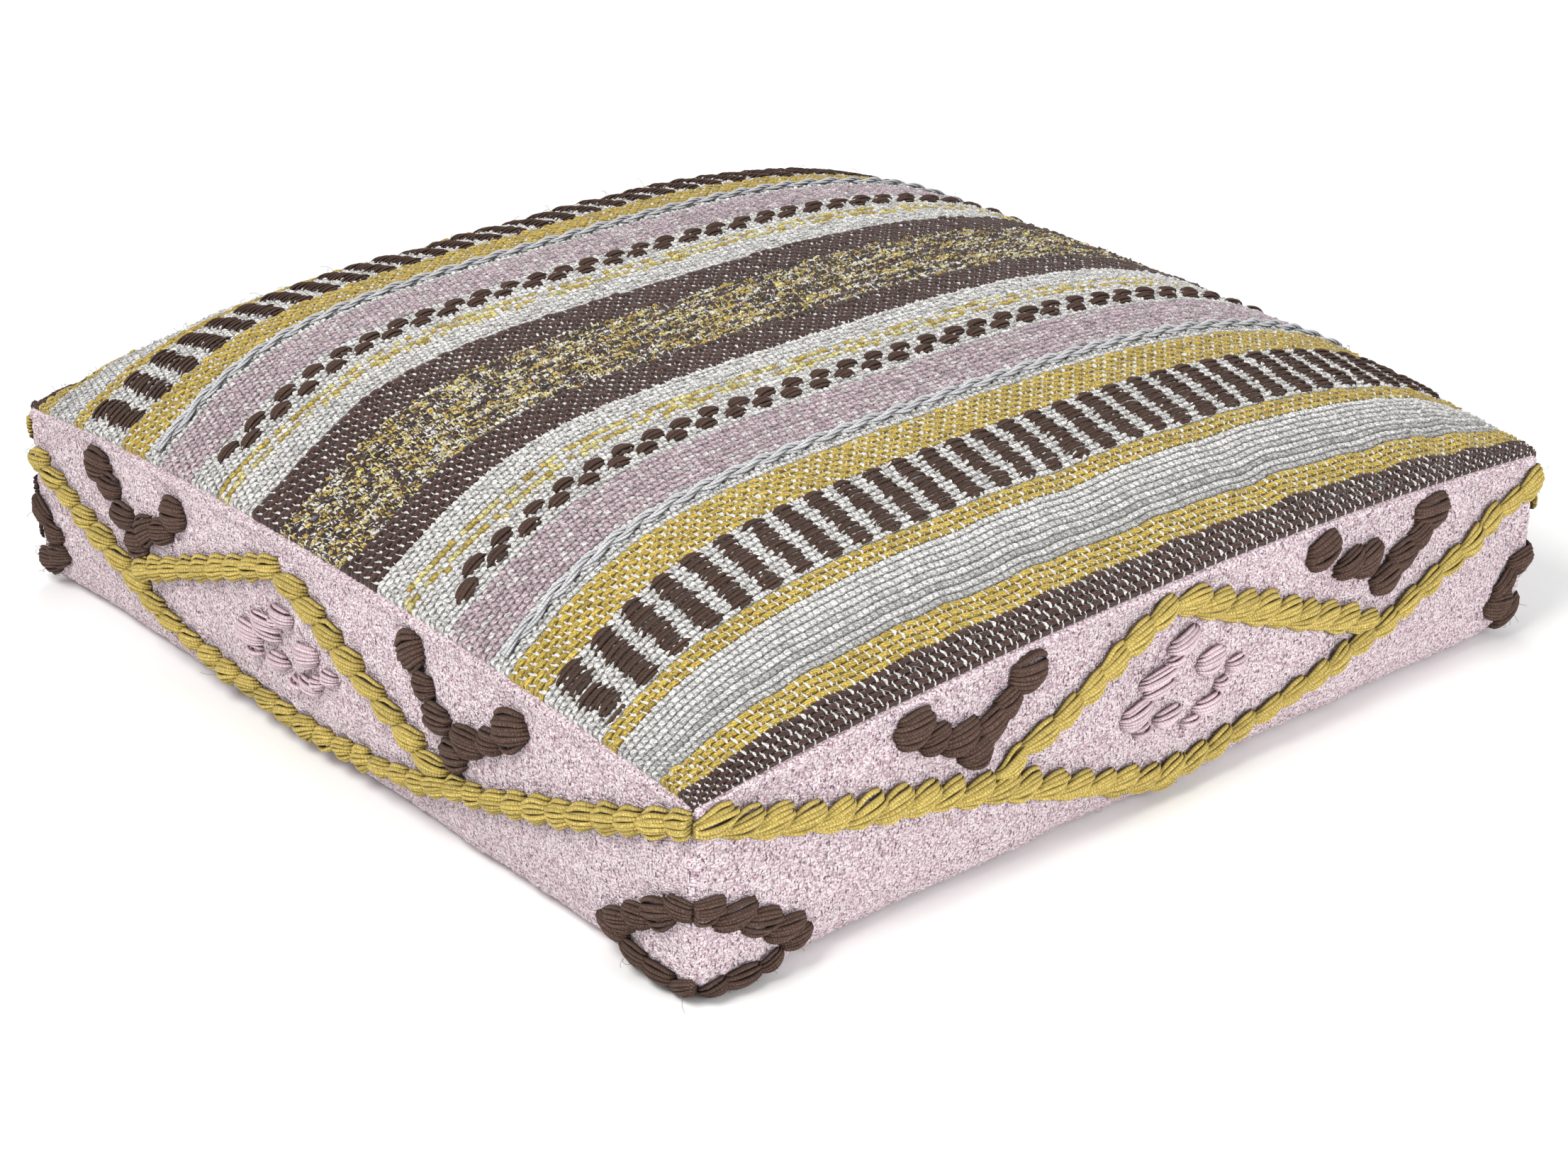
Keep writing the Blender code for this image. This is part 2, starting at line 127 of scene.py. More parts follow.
def unit(vectors):
    return vectors / np.maximum(np.linalg.norm(vectors, axis=-1, keepdims=True), 1e-12)


def sample(field, a, b):
    """Smooth sample of a grid of vectors at shares a and b, from 0 to 1, of its two sides."""
    rows, columns = field.shape[:2]
    x = np.clip(a, 0, 1) * (rows - 1)
    y = np.clip(b, 0, 1) * (columns - 1)
    i = np.minimum(x.astype(int), rows - 2)
    j = np.minimum(y.astype(int), columns - 2)

    def weights(f):
        return ((1 - f) ** 3 / 6, (3 * f ** 3 - 6 * f ** 2 + 4) / 6,
                (-3 * f ** 3 + 3 * f ** 2 + 3 * f + 1) / 6, f ** 3 / 6)

    total = 0
    for step_i, weight_i in zip((-1, 0, 1, 2), weights(x - i)):
        for step_j, weight_j in zip((-1, 0, 1, 2), weights(y - j)):
            near = field[np.clip(i + step_i, 0, rows - 1), np.clip(j + step_j, 0, columns - 1)]
            total = total + (weight_i * weight_j)[..., None] * near
    return total


def top_base(u, v):
    """Outer face of the top at shares u and v of its half width and half depth."""
    x = np.abs(u + CREST_SHIFT_X * (1 - u ** 2))
    y = np.abs(v + CREST_SHIFT_Y * (1 - v ** 2))
    swell = np.clip(1 - x ** 3.53, 0, 1) ** 0.806 * np.clip(1 - y ** 3.325, 0, 1) ** 0.683
    edge = RISE_FRONT * (1 - u ** 2) * v ** 4 + RISE_SIDE * (1 - v ** 2) * u ** 4
    return np.stack([u * (HALF + BOW_SIDE * (1 - v ** 2) * np.abs(u) ** 3),
                     v * (HALF + BOW_FRONT * (1 - u ** 2) * np.abs(v) ** 3),
                     SEAM_HEIGHT + edge + CROWN * swell], -1)


def wave(run, shift):
    """Uneven ripple of about -1 to 1 along a run in metres."""
    return (0.50 * np.sin(2 * math.pi * run / 0.046 + shift)
            + 0.35 * np.sin(2 * math.pi * run / 0.029 + 2.3 * shift)
            + 0.45 * np.sin(2 * math.pi * run / 0.087 + 0.7 * shift))


def pucker(u, v):
    """How far the top's edges pucker up where they're gathered into the seam."""
    total = 0
    for near, run, shift, depth in ((v, u, 1.0, 0.0014), (u, v, 4.2, 0.0012)):
        from_edge = (1 - np.abs(near)) * HALF
        window = smooth_step(from_edge / 0.010) * smooth_step(1 - from_edge / 0.062)
        total = total + depth * window * wave(run * HALF, shift + 2 * np.sign(near))
    return total


class Top:
    field = None

    def at(self, u, v):
        place = top_base(u, v)
        place[..., 2] += pucker(u, v)
        if self.field is not None:
            place = place + sample(self.field, (u + 1) / 2, (v + 1) / 2)
        return place

    def raised(self, x, y, out):
        """Points above plan places x, y, and the cloth's normals there."""
        u = np.clip(x / HALF, -0.999, 0.999)
        v = np.clip(y / HALF, -0.999, 0.999)
        step = 0.004
        along = self.at(u + step, v) - self.at(u - step, v)
        across = self.at(u, v + step) - self.at(u, v - step)
        normal = unit(np.cross(along, across))
        return self.at(u, v) + normal * out[..., None], normal


def corner_pull(height):
    """How far the front corners draw in at a height, near the floor."""
    return CORNER_PULL * smooth_step(1 - height / CORNER_PULL_HEIGHT)


class Side:
    """One side of the cover, in a frame of its own: x along it, -y out of it, z up."""

    def __init__(self, name, turns, rise, bow, pattern, low_round, ends, floor):
        self.name = name
        self.cos = round(math.cos(turns * math.pi / 2))
        self.sin = round(math.sin(turns * math.pi / 2))
        self.rise, self.bow = rise, bow
        self.pattern = pattern
        self.low_round = low_round
        self.ends = ends
        self.floor = floor
        self.field = None

    def seam(self, share):
        return SEAM_HEIGHT + self.rise * (1 - share * share)

    def out_of(self, local):
        """Turns a local vector to the cushion's own axes."""
        x, y, z = local[..., 0], local[..., 1], local[..., 2]
        return np.stack([x * self.cos - y * self.sin, x * self.sin + y * self.cos, z], -1)

    def at(self, share, height, out=0.0):
        """Point `out` from the cloth at a share of the half length, and its outward normal."""
        share, height = np.broadcast_arrays(np.asarray(share, float), np.asarray(height, float))
        share = np.clip(share, -1, 1)
        radius = self.low_round
        lean = np.arcsin(np.clip((radius - height) / radius, 0, 1))
        inset = radius * (1 - np.cos(lean))
        end_radius = np.where(share < 0, self.ends[0], self.ends[1])
        end_lean = np.arcsin(np.clip((end_radius - height) / end_radius, 0, 1))
        end_inset = end_radius * (1 - np.cos(end_lean))
        swell = np.clip((height - BOW_START) / (SEAM_HEIGHT - BOW_START), 0, 1)
        pulls = (end_radius == ROUND_FRONT) & (self.name != "back")
        pulled = np.abs(share) ** 16 * corner_pull(height) * pulls
        soft = smooth_step((height - 0.026) / 0.030) * smooth_step((1 - np.abs(share)) * 12)
        soft = soft * smooth_step((self.seam(share) - height) / 0.020)
        ripple = 0.0012 * soft * wave(share * HALF / 1.6 + 0.35 * height, self.sin + 3 * self.cos)
        face = HALF - inset + self.bow * (1 - share ** 2) * swell - pulled + ripple
        normal = np.stack([0 * share, -np.cos(lean), -np.sin(lean)], -1)
        along = share * (HALF - end_inset) - np.sign(share) * pulled
        place = np.stack([along, -face, height], -1)
        place = self.out_of(place + normal * np.asarray(out)[..., None])
        if self.field is not None:
            place = place + sample(self.field, (share + 1) / 2, height / self.seam(share))
        return place, self.out_of(normal)

    def spot(self, share, height_share):
        """A pattern point, in metres along the side and up it."""
        lifted = max(height_share, self.floor)
        return np.array([share * HALF, lifted * self.seam(share)])


TOP = Top()
SIDES = [
    Side("front", 0, RISE_FRONT, BOW_FRONT, FRONT_PATTERN, ROUND_FRONT,
         (ROUND_FRONT, ROUND_FRONT), 0),
    Side("right", 1, RISE_SIDE, BOW_SIDE, SIDE_PATTERN, ROUND_FRONT,
         (ROUND_FRONT, ROUND_BACK), 0),
    Side("back", 2, RISE_FRONT, BOW_FRONT, FRONT_PATTERN, ROUND_BACK,
         (ROUND_FRONT, ROUND_FRONT), BACK_FLOOR),
    Side("left", 3, RISE_SIDE, BOW_SIDE, SIDE_PATTERN, ROUND_FRONT,
         (ROUND_BACK, ROUND_FRONT), 0),
]


# ---- meshes

def mesh_piece(name, points, faces, material, point_data=None, corner_data=None):
    """A smooth-shaded object. faces is a list of arrays, each with one number of corners."""
    mesh = bpy.data.meshes.new(name)
    points = np.asarray(points, np.float32).ravel()
    mesh.vertices.add(len(points) // 3)
    mesh.vertices.foreach_set("co", points)
    loops = np.concatenate([group.ravel() for group in faces]).astype(np.int32)
    sizes = np.concatenate([np.full(len(group), group.shape[1]) for group in faces])
    mesh.loops.add(len(loops))
    mesh.loops.foreach_set("vertex_index", loops)
    mesh.polygons.add(len(sizes))
    starts = np.concatenate([[0], np.cumsum(sizes)[:-1]]).astype(np.int32)
    mesh.polygons.foreach_set("loop_start", starts)
    mesh.update(calc_edges=True)
    mesh.shade_smooth()
    for domain, data in (("POINT", point_data), ("CORNER", corner_data)):
        for key, values in (data or {}).items():
            layer = mesh.attributes.new(key, "FLOAT_VECTOR", domain)
            layer.data.foreach_set("vector", np.asarray(values, np.float32).ravel())
    mesh.materials.append(material)
    thing = bpy.data.objects.new(name, mesh)
    bpy.context.scene.collection.objects.link(thing)
    return thing


def cover_piece(name, points, faces, kind, replaces=(), fill=None, thickness=None, **data):
    """A piece that rides with the cover, in one kind of material."""
    material, slot = PAINT[kind]
    thing = mesh_piece(name, points, faces, material, **data)
    if thickness is not None:
        solid = thing.modifiers.new("thickness", "SOLIDIFY")
        solid.thickness = thickness
        solid.offset = -1
    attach(thing, "cover")
    if replaces:
        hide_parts(*replaces)


def grid_faces(rows, columns):
    """Quads of a grid of points, numbered row by row."""
    index = np.arange(rows * columns).reshape(rows, columns)
    corners = (index[:-1, :-1], index[1:, :-1], index[1:, 1:], index[:-1, 1:])
    return np.stack(corners, -1).reshape(-1, 4)


def weld(points, size):
    """Numbers of the points kept when near ones are joined, and each point's place among them."""
    _, first, back = np.unique(np.round(points / size).astype(int), axis=0,
                               return_index=True, return_inverse=True)
    return first, back.reshape(-1)


def grid_normals(points):
    return unit(np.cross(np.gradient(points, axis=0), np.gradient(points, axis=1)))


def tube_data(paths, normals, radius, flat=1.0, sides=6):
    """Points, faces and strand coordinates of many closed tubes with equal numbers of points."""
    count, steps = paths.shape[:2]
    heading = unit(np.gradient(paths, axis=1))
    across = unit(np.cross(heading, normals))
    up = np.cross(across, heading)
    angles = np.arange(sides) * 2 * math.pi / sides
    size = radius[..., None, None]
    ring = (paths[:, :, None] + size * np.cos(angles)[:, None] * across[:, :, None]
            + size * flat * np.sin(angles)[:, None] * up[:, :, None])
    index = np.arange(count * steps * sides).reshape(count, steps, sides)
    here, there = index[:, :-1], index[:, 1:]
    quads = np.stack([here, there, np.roll(there, -1, 2), np.roll(here, -1, 2)], -1)
    caps = np.concatenate([index[:, 0], index[:, -1, ::-1]])
    lengths = np.linalg.norm(np.diff(paths, axis=1), axis=-1)
    run = np.concatenate([np.zeros((count, 1)), np.cumsum(lengths, 1)], 1)
    ident = np.broadcast_to(RNG.random(count)[:, None, None], (count, steps, sides))
    run = np.broadcast_to(run[:, :, None], (count, steps, sides))
    turn = np.broadcast_to(angles[None, None], (count, steps, sides))
    # The third value, the height around the tube, sets the yarn's painted shade on each strand's
    # underside
    strand = np.stack([run, ident, np.sin(turn)], -1)
    around = np.stack([np.cos(turn), np.sin(turn), 0 * turn], -1)
    return ring.reshape(-1, 3), [quads.reshape(-1, 4), caps], strand, around


def tubes(name, batches, kind, replaces=()):
    """One piece from several batches of tubes."""
    points, faces, strands, arounds, start = [], [], [], [], 0
    for batch in batches:
        ring, groups, strand, around = tube_data(**batch)
        points.append(ring)
        faces += [group + start for group in groups]
        strands.append(strand.reshape(-1, 3))
        arounds.append(around.reshape(-1, 3))
        start += len(ring)
    data = {"strand": np.concatenate(strands), "around": np.concatenate(arounds)}
    cover_piece(name, np.concatenate(points), faces, kind, replaces, point_data=data)


# ---- materials

class Wire:
    """A node's output, which takes plain arithmetic with numbers, vectors and other wires."""

    def __init__(self, paint, socket):
        self.paint, self.socket = paint, socket

    def apply(self, operation, *others):
        wide = self.socket.type != "VALUE"
        return self.paint.node("VectorMath" if wide else "Math",
                               dict(enumerate((self, *others))), operation=operation)

    def split(self):
        made = self.paint.tree.nodes.new("ShaderNodeSeparateXYZ")
        self.paint.tree.links.new(self.socket, made.inputs[0])
        return [Wire(self.paint, socket) for socket in made.outputs]

    def ramp(self, low, high, to_low=0.0, to_high=1.0):
        inputs = {0: self, 1: low, 2: high, 3: to_low, 4: to_high}
        return self.paint.node("MapRange", inputs, interpolation_type="SMOOTHSTEP")

    def noise(self, scale, detail=2.0, out=0):
        inputs = {"Vector": self, "Scale": scale, "Detail": detail}
        return self.paint.node("TexNoise", inputs, out=out)

    def cells(self, scale, spread, out):
        inputs = {"Vector": self, "Scale": scale, "Randomness": spread}
        return self.paint.node("TexVoronoi", inputs, out=out)


for operator, operation in (("__add__", "ADD"), ("__sub__", "SUBTRACT"), ("__mul__", "MULTIPLY"),
                            ("__truediv__", "DIVIDE"), ("__pow__", "POWER"),
                            ("__abs__", "ABSOLUTE"), ("least", "MINIMUM"), ("most", "MAXIMUM"),
                            ("sine", "SINE"), ("cosine", "COSINE"), ("fraction", "FRACT")):
    setattr(Wire, operator, partialmethod(Wire.apply, operation))


class Paint:
    """Builds one procedural material."""

    def __init__(self, name, roughness=0.9, sheen=0.0, metallic=0.0, tint=(1, 1, 1)):
        self.material = bpy.data.materials.new(name)
        self.material.use_nodes = True
        self.tree = self.material.node_tree
        self.shader = self.tree.nodes["Principled BSDF"]
        settings = {"Roughness": roughness, "Metallic": metallic,
                    "Specular IOR Level": 0.5 if metallic else 0.25, "Sheen Weight": sheen,
                    "Sheen Roughness": 0.5, "Sheen Tint": (*tint, 1)}
        for key, value in settings.items():
            self.shader.inputs[key].default_value = value
        self.own = self.node("TexCoord", out="Object")

    def node(self, kind, inputs=None, out=0, **settings):
        made = self.tree.nodes.new("ShaderNode" + kind)
        for key, value in settings.items():
            setattr(made, key, value)
        for key, value in (inputs or {}).items():
            if isinstance(value, Wire):
                self.tree.links.new(value.socket, made.inputs[key])
            else:
                made.inputs[key].default_value = value
        return Wire(self, made.outputs[out])

    def attribute(self, name):
        return self.node("Attribute", out="Vector", attribute_name=name)

    def mix(self, factor, first, second, blend="MIX"):
        first, second = (value if isinstance(value, Wire) else (*value, 1)
                         for value in (first, second))
        return self.node("Mix", {0: factor, 6: first, 7: second}, out=2, data_type="RGBA",
                         blend_type=blend)

    def shaded(self, tone, value, low, high, start=0.3, end=0.7):
        """A tone made darker or lighter as value goes from start to end."""
        return self.mix(1.0, tone, value.ramp(start, end, low, high), "MULTIPLY")

    def feed(self, key, wire):
        self.tree.links.new(wire.socket, self.shader.inputs[key])

    def finish(self, colour, height, distance, strength):
        """Sets the colour and the bump, and returns the material."""
        bump = {"Height": height, "Distance": distance, "Strength": strength}
        self.feed("Normal", self.node("Bump", bump))
        self.feed("Base Color", colour)
        return self.material


def weave_paint():
    """Woven top: each bead's own colour, the warp's dash between beads and fine strands, with
    painted shade between beads and rows and in the strands' grooves, and painted highlights on the
    strands' crests.
    """
    paint = Paint("woven_stripes", 0.88, 0.12)
    across, up, width = paint.attribute("weave").split()
    mottled = width.ramp(0.165, 0.19)
    width = width.least(0.16)
    middle = up - 0.5
    across = across + middle * 0.14
    edge = abs(across.least(across * -1.0 + 1.0))
    oval = (edge / width) ** 2.0 + abs(middle / 0.68) ** 2.0
    for lean, far in ((0.14, -0.5), (-0.14, 1.5)):
        aside = abs((across + lean - 0.5) / width) ** 2.0
        oval = oval.least(aside + abs((up - far) / 0.68) ** 2.0)
    dash = oval.ramp(1.15, 0.75)
    fine = paint.own.noise(900.0, 3.0)
    grain = paint.own.noise(2600.0)
    strands = (up * 19.0 + across * 9.0 + fine * 9.0).sine()
    # Painted shade mask: strongest in the valleys between rows and between beads
    crevice_shade_mask = abs(middle).ramp(0.25, 0.48).most(edge.ramp(0.16, 0.0) * oval.ramp(0.9, 1.3))
    streaked = paint.attribute("yarn")
    for place, share, tone in ((0.0, 0.51, linear(232, 228, 220)), (3.1, 0.50, CHARCOAL),
                               (5.3, 0.58, linear(194, 164, 82)), (7.7, 0.56, BROWN)):
        streak = (paint.own * (0.16, 1.0, 1.0) + (place, 2 * place, 0.0)).noise(390.0, 1.0)
        streaked = paint.mix(streak.ramp(share, share + 0.04), streaked, tone)
    yarn = paint.mix(mottled, paint.attribute("yarn"), streaked)
    # Painted shade in the grooves between strands and painted highlight on their crests
    colour = paint.shaded(yarn, strands, 0.58, 1.15, -1.2, 0.6)
    # Painted shade: each row's dark tone laid into the valleys between beads and rows
    colour = paint.mix(crevice_shade_mask * 0.92, colour, paint.attribute("shade_between_beads"))
    colour = paint.mix(dash, colour, paint.attribute("dash"))
    colour = paint.shaded(colour, fine, 0.66, 1.22)
    colour = paint.shaded(colour, grain, 0.80, 1.10)
    return paint.finish(colour, strands * 0.35 + fine + dash * 0.8, 0.0005, 0.8)


def boucle_paint():
    """Nubby pink side cloth, with painted shade around each knot, in the dents, along the ends and
    seams and in the ribs, and small painted shadow strokes.
    """
    paint = Paint("pink_boucle", 0.92, 0.15)
    bent = paint.own + paint.own.noise(260.0, out="Color") * (0.0012, 0.0012, 0.0012)
    laid = bent * (0.72, 0.72, 1.0)
    knot = laid.cells(840.0, 0.75, "Distance")
    pick = laid.cells(840.0, 0.75, "Color").split()
    # Painted shadow strokes: small dark marks standing in for the shade between the loops
    painted_shade = (bent * (1.0, 1.0, 0.45)).noise(950.0).ramp(0.585, 0.63)
    fine = paint.own.noise(1500.0, 3.0)
    # First weave value: painted shade in the cloth's dents, along its ends and seam and in the
    # ribs' valleys
    low = paint.attribute("weave").split()[0]
    tone = paint.mix(pick[0].ramp(0.0, 1.0), linear(232, 214, 220), linear(249, 236, 240))
    # Over the base tone: white and magenta flecks, painted shade around each knot, painted shadow
    # strokes, and painted shade in the low spots, ends, seams and ribs
    for share, over in (
            (pick[1].ramp(0.955, 0.97) * 0.6, linear(252, 249, 247)),
            (pick[2].ramp(0.985, 0.99) * 0.6, linear(196, 118, 138)),
            (knot.ramp(0.42, 0.70) * 0.66, linear(140, 102, 118)),
            (painted_shade * 0.88, linear(84, 58, 74)),
            (low * 0.40, linear(150, 112, 126)),
            (low.ramp(0.82, 0.9, 0.0, 0.85), linear(104, 66, 80))):
        tone = paint.mix(share, tone, over)
    tone = paint.shaded(tone, fine, 0.86, 1.08)
    tone = paint.shaded(tone, paint.own.noise(9.0, 3.0), 0.96, 1.03)
    return paint.finish(tone, fine * 0.5 + knot * -1.0, 0.0012, 0.9)


def yarn_paint(name, painted_shade, middle, light, highlight_fleck):
    """Spun yarn: twisted lines along each strand, with lighter and darker fibres, painted shade in
    the twist's grooves and on each strand's underside, and light flecks painted as highlights.
    """
    painted_shade, middle, light = linear(*painted_shade), linear(*middle), linear(*light)
    paint = Paint(name, 0.82, 0.2, tint=tuple(light))
    run, number, top = paint.attribute("strand").split()
    cosine, sine = paint.attribute("around").split()[:2]
    place = paint.node("CombineXYZ", {0: run * 0.35, 1: number, 2: top})
    phase = run * 3900.0
    twist = sine * phase.cosine() + cosine * phase.sine()
    fibre = (paint.own + place).noise(1300.0, 3.0)
    tone = paint.mix(fibre.ramp(0.36, 0.66), middle, light)
    # Painted shade in the twist's grooves
    tone = paint.mix(twist.ramp(0.1, -0.9, 0.0, 0.30), tone, painted_shade)
    # Painted shade on each strand's underside, towards the cloth
    tone = paint.mix(top.ramp(0.55, -0.18, 0.0, 0.95), tone, painted_shade)
    tone = paint.shaded(tone, (number * 37.0).fraction(), 0.86, 1.08, 0.0, 1.0)
    tone = paint.shaded(tone, paint.own.noise(420.0), 0.88, 1.08)
    # Painted highlights: light flecks on the fuzz
    tone = paint.mix(fibre.ramp(0.66, 0.74) * highlight_fleck, tone, light)
    return paint.finish(tone, twist * 0.22 + fibre, 0.0004, 0.8)


def plain_cloth_paint(name, tone, pitch):
    """Plain weave in one colour, with painted shade where the threads dip."""
    paint = Paint(name, 0.9, 0.1)
    x, y, z = paint.own.split()
    turn = 2 * math.pi / pitch
    threads = (x * turn).sine() * ((y + z) * turn).sine()
    fine = paint.own.noise(700.0, 3.0)
    colour = paint.shaded(linear(*tone), threads, 0.8, 1.05, -1.0, 1.0)
    return paint.finish(paint.shaded(colour, fine, 0.88, 1.06), threads + fine, 0.0004, 0.7)


def fill_paint():
    """Loose curled fibre."""
    paint = Paint("loose_fill", 0.95, 0.2)
    curl = paint.own.noise(120.0, 5.0)
    colour = paint.mix(curl.ramp(0.35, 0.65), linear(214, 212, 206), linear(248, 247, 244))
    return paint.finish(colour, curl, 0.003, 0.8)


def metal_paint():
    """Brushed, slightly worn nickel."""
    paint = Paint("zip_nickel", 0.3, 0.0, 1.0)
    brush = (paint.own * (1.0, 12.0, 12.0)).noise(400.0, 3.0)
    wear = paint.own.noise(160.0, 3.0)
    paint.feed("Roughness", brush.ramp(0.3, 0.7, 0.24, 0.42))
    colour = paint.mix(wear.ramp(0.4, 0.7), linear(176, 172, 166), linear(208, 205, 200))
    return paint.finish(colour, brush, 0.00005, 0.4)


def nylon_paint():
    """Slightly cloudy nylon of the zip's coils."""
    paint = Paint("zip_nylon", 0.42)
    cloud = paint.own.noise(300.0)
    colour = paint.mix(cloud.ramp(0.35, 0.65), linear(205, 182, 186), linear(222, 202, 205))
    return paint.finish(colour, paint.own.noise(1500.0), 0.0001, 0.4)


# Embroidery yarns: slot, painted shade, middle and light tones, and how strongly the light flecks
# painted as highlights show
YARNS = {
    "mustard": ("mustard_yarn", (62, 42, 10), (172, 144, 60), (230, 210, 130), 0.6),
    "brown": ("brown_yarn", (26, 17, 15), (66, 47, 41), (112, 88, 76), 0.6),
    "pink": ("pink_yarn", (140, 88, 106), (218, 193, 201), (236, 219, 224), 0.3),
}

# Material and slot of each kind of piece
PAINT = {
    "weave": (weave_paint(), "striped_weave"),
    "boucle": (boucle_paint(), "pink_weave"),
    **{kind: (yarn_paint(*look), look[0]) for kind, look in YARNS.items()},
    "cord": (yarn_paint("grey_white_cord", (70, 70, 76), (184, 184, 187), (228, 228, 230), 0.5),
             "striped_weave"),
    "base": (plain_cloth_paint("base_cloth", (214, 204, 190), 0.0021), "base_cloth"),
    "liner": (plain_cloth_paint("liner_cloth", (232, 230, 226), 0.0012), "liner_cloth"),
    "tape": (plain_cloth_paint("zip_tape_cloth", (214, 190, 194), 0.0008), "zip_tape"),
    "fill": (fill_paint(), "loose_fill"),
    "metal": (metal_paint(), "zip_metal"),
    "nylon": (nylon_paint(), "zip_coil"),
}


# ---- stuffed shape

# Cloth simulation: quads along and up each face, frames, longest move and how far it starts sunk
COARSE = 40
COARSE_HEIGHT = 9
SETTLE_FRAMES = 20
SETTLE_CAP = 0.0045
SETTLE_SINK = 0.0020
HEART = (0, 0, 0.07)


def swell(points, faces):
    """How far each point of a closed shell moves when a cloth simulation swells it."""
    mesh = bpy.data.meshes.new("swelling")
    mesh.from_pydata(points.tolist(), [], faces.tolist())
    shell = bmesh.new()
    shell.from_mesh(mesh)
    bmesh.ops.recalc_face_normals(shell, faces=shell.faces)
    shell.to_mesh(mesh)
    shell.free()
    thing = bpy.data.objects.new("swelling", mesh)
    scene = bpy.context.scene
    scene.collection.objects.link(thing)
    bpy.context.view_layer.objects.active = thing
    held = thing.vertex_groups.new(name="held")
    edge = np.maximum(np.abs(points[:, 0]), np.abs(points[:, 1])) > HALF - 0.0006
    high = points[:, 2] > SEAM_HEIGHT - 0.001
    held.add(np.flatnonzero((edge & high) | (points[:, 2] < 0.012)).tolist(), 1.0, "REPLACE")
    step = thing.modifiers.new("swell", "CLOTH")
    cloth = step.settings
    cloth.quality = 6
    cloth.mass = 0.3
    cloth.tension_stiffness = cloth.compression_stiffness = 14
    cloth.shear_stiffness = 6
    cloth.bending_stiffness = 0.4
    cloth.vertex_group_mass = "held"
    cloth.use_pressure = True
    cloth.uniform_pressure_force = 4
    cloth.shrink_min = -0.012
    cloth.effector_weights.gravity = 0
    step.point_cache.frame_start, step.point_cache.frame_end = 1, SETTLE_FRAMES
    for number in range(1, SETTLE_FRAMES + 1):
        scene.frame_set(number)
    moved = np.zeros(len(points) * 3, np.float32)
    seen = thing.evaluated_get(bpy.context.evaluated_depsgraph_get())
    seen.to_mesh().vertices.foreach_get("co", moved)
    scene.frame_set(1)
    bpy.data.objects.remove(thing)
    bpy.data.meshes.remove(mesh)
    return moved.reshape(-1, 3) - points


def settle_cover():
    """Swells a coarse cover and keeps how far each place of the top and the sides moved."""
    ticks = np.linspace(-1, 1, COARSE + 1)
    u, v = np.meshgrid(ticks, ticks, indexing="ij")
    share, level = np.meshgrid(ticks, np.linspace(0, 1, COARSE_HEIGHT + 1), indexing="ij")
    sheets = [top_base(u, v)]
    sheets += [side.at(share, level * side.seam(share))[0] for side in SIDES]
    sheets.append(np.stack([u * (HALF - ROUND_FRONT), v * (HALF - ROUND_FRONT), 0 * u], -1))
    points = np.concatenate([sheet.reshape(-1, 3) for sheet in sheets])
    first, back = weld(points, 0.0004)
    faces, start = [], 0
    for number, sheet in enumerate(sheets):
        quads = grid_faces(*sheet.shape[:2]) + start
        faces.append(back[quads if number else quads[:, ::-1]])
        start += sheet.shape[0] * sheet.shape[1]
    faces = np.concatenate(faces)
    faces = faces[[len(set(face)) == 4 for face in faces.tolist()]]
    shift = swell(points[first], faces)
    size = np.linalg.norm(shift, axis=1, keepdims=True)
    shift *= SETTLE_CAP * np.tanh(size / SETTLE_CAP) / np.maximum(size, 1e-9)
    start = 0
    for cloth, sheet in zip([TOP, *SIDES], sheets):
        places = back[start:start + sheet.shape[0] * sheet.shape[1]]
        start += len(places)
        free = np.minimum(size[places] / 0.002, 1).reshape(*sheet.shape[:2], 1)
        normal = grid_normals(sheet)
        outward = normal * np.sign((normal * (sheet - HEART)).sum(-1, keepdims=True))
        cloth.field = shift[places].reshape(sheet.shape) - outward * SETTLE_SINK * free


# ---- top

STRIPES = [
    (0.029, "melange"), (0.058, "brown"), (0.075, "white"), (0.091, "mixed"),
    (0.117, "white"), (0.151, "pink"), (0.165, "white"), (0.192, "mustard"),
    (0.235, "white"), (0.248, "mustard"), (1.0, "greying"),
]
EDGE_BROWN_ROWS, EDGE_MUSTARD_ROWS = 5, 4
INNER_STRIPES = 0.2
SEAM_TUCK = 0.0015
SPECKLE = np.array([BROWN, WHITE, STRAW, CHARCOAL, BROWN, MUSTARD])

# Kinds of rows: how plump the beads are, how wide the warp's dashes are in the inner and in the
# outer stripes, and the painted shade colour between the beads
ROW_KINDS = {
    "brown": (1.25, 0.065, 0.085, linear(24, 15, 14)),
    "mustard": (1.2, 0.10, 0.085, linear(84, 64, 20)),
    "pink": (0.95, 0.10, 0.10, linear(74, 52, 64)),
    "white": (0.95, 0.10, 0.10, linear(58, 55, 57)),
    "mixed": (1.0, 0.10, 0.10, linear(100, 84, 56)),
    "greying": (0.9, 0.10, 0.10, linear(70, 72, 78)),
    "melange": (1.2, 0.40, 0.40, linear(48, 39, 36)),
}


def stripe_at(place):
    return next(kind for edge, kind in STRIPES if abs(place) < edge)


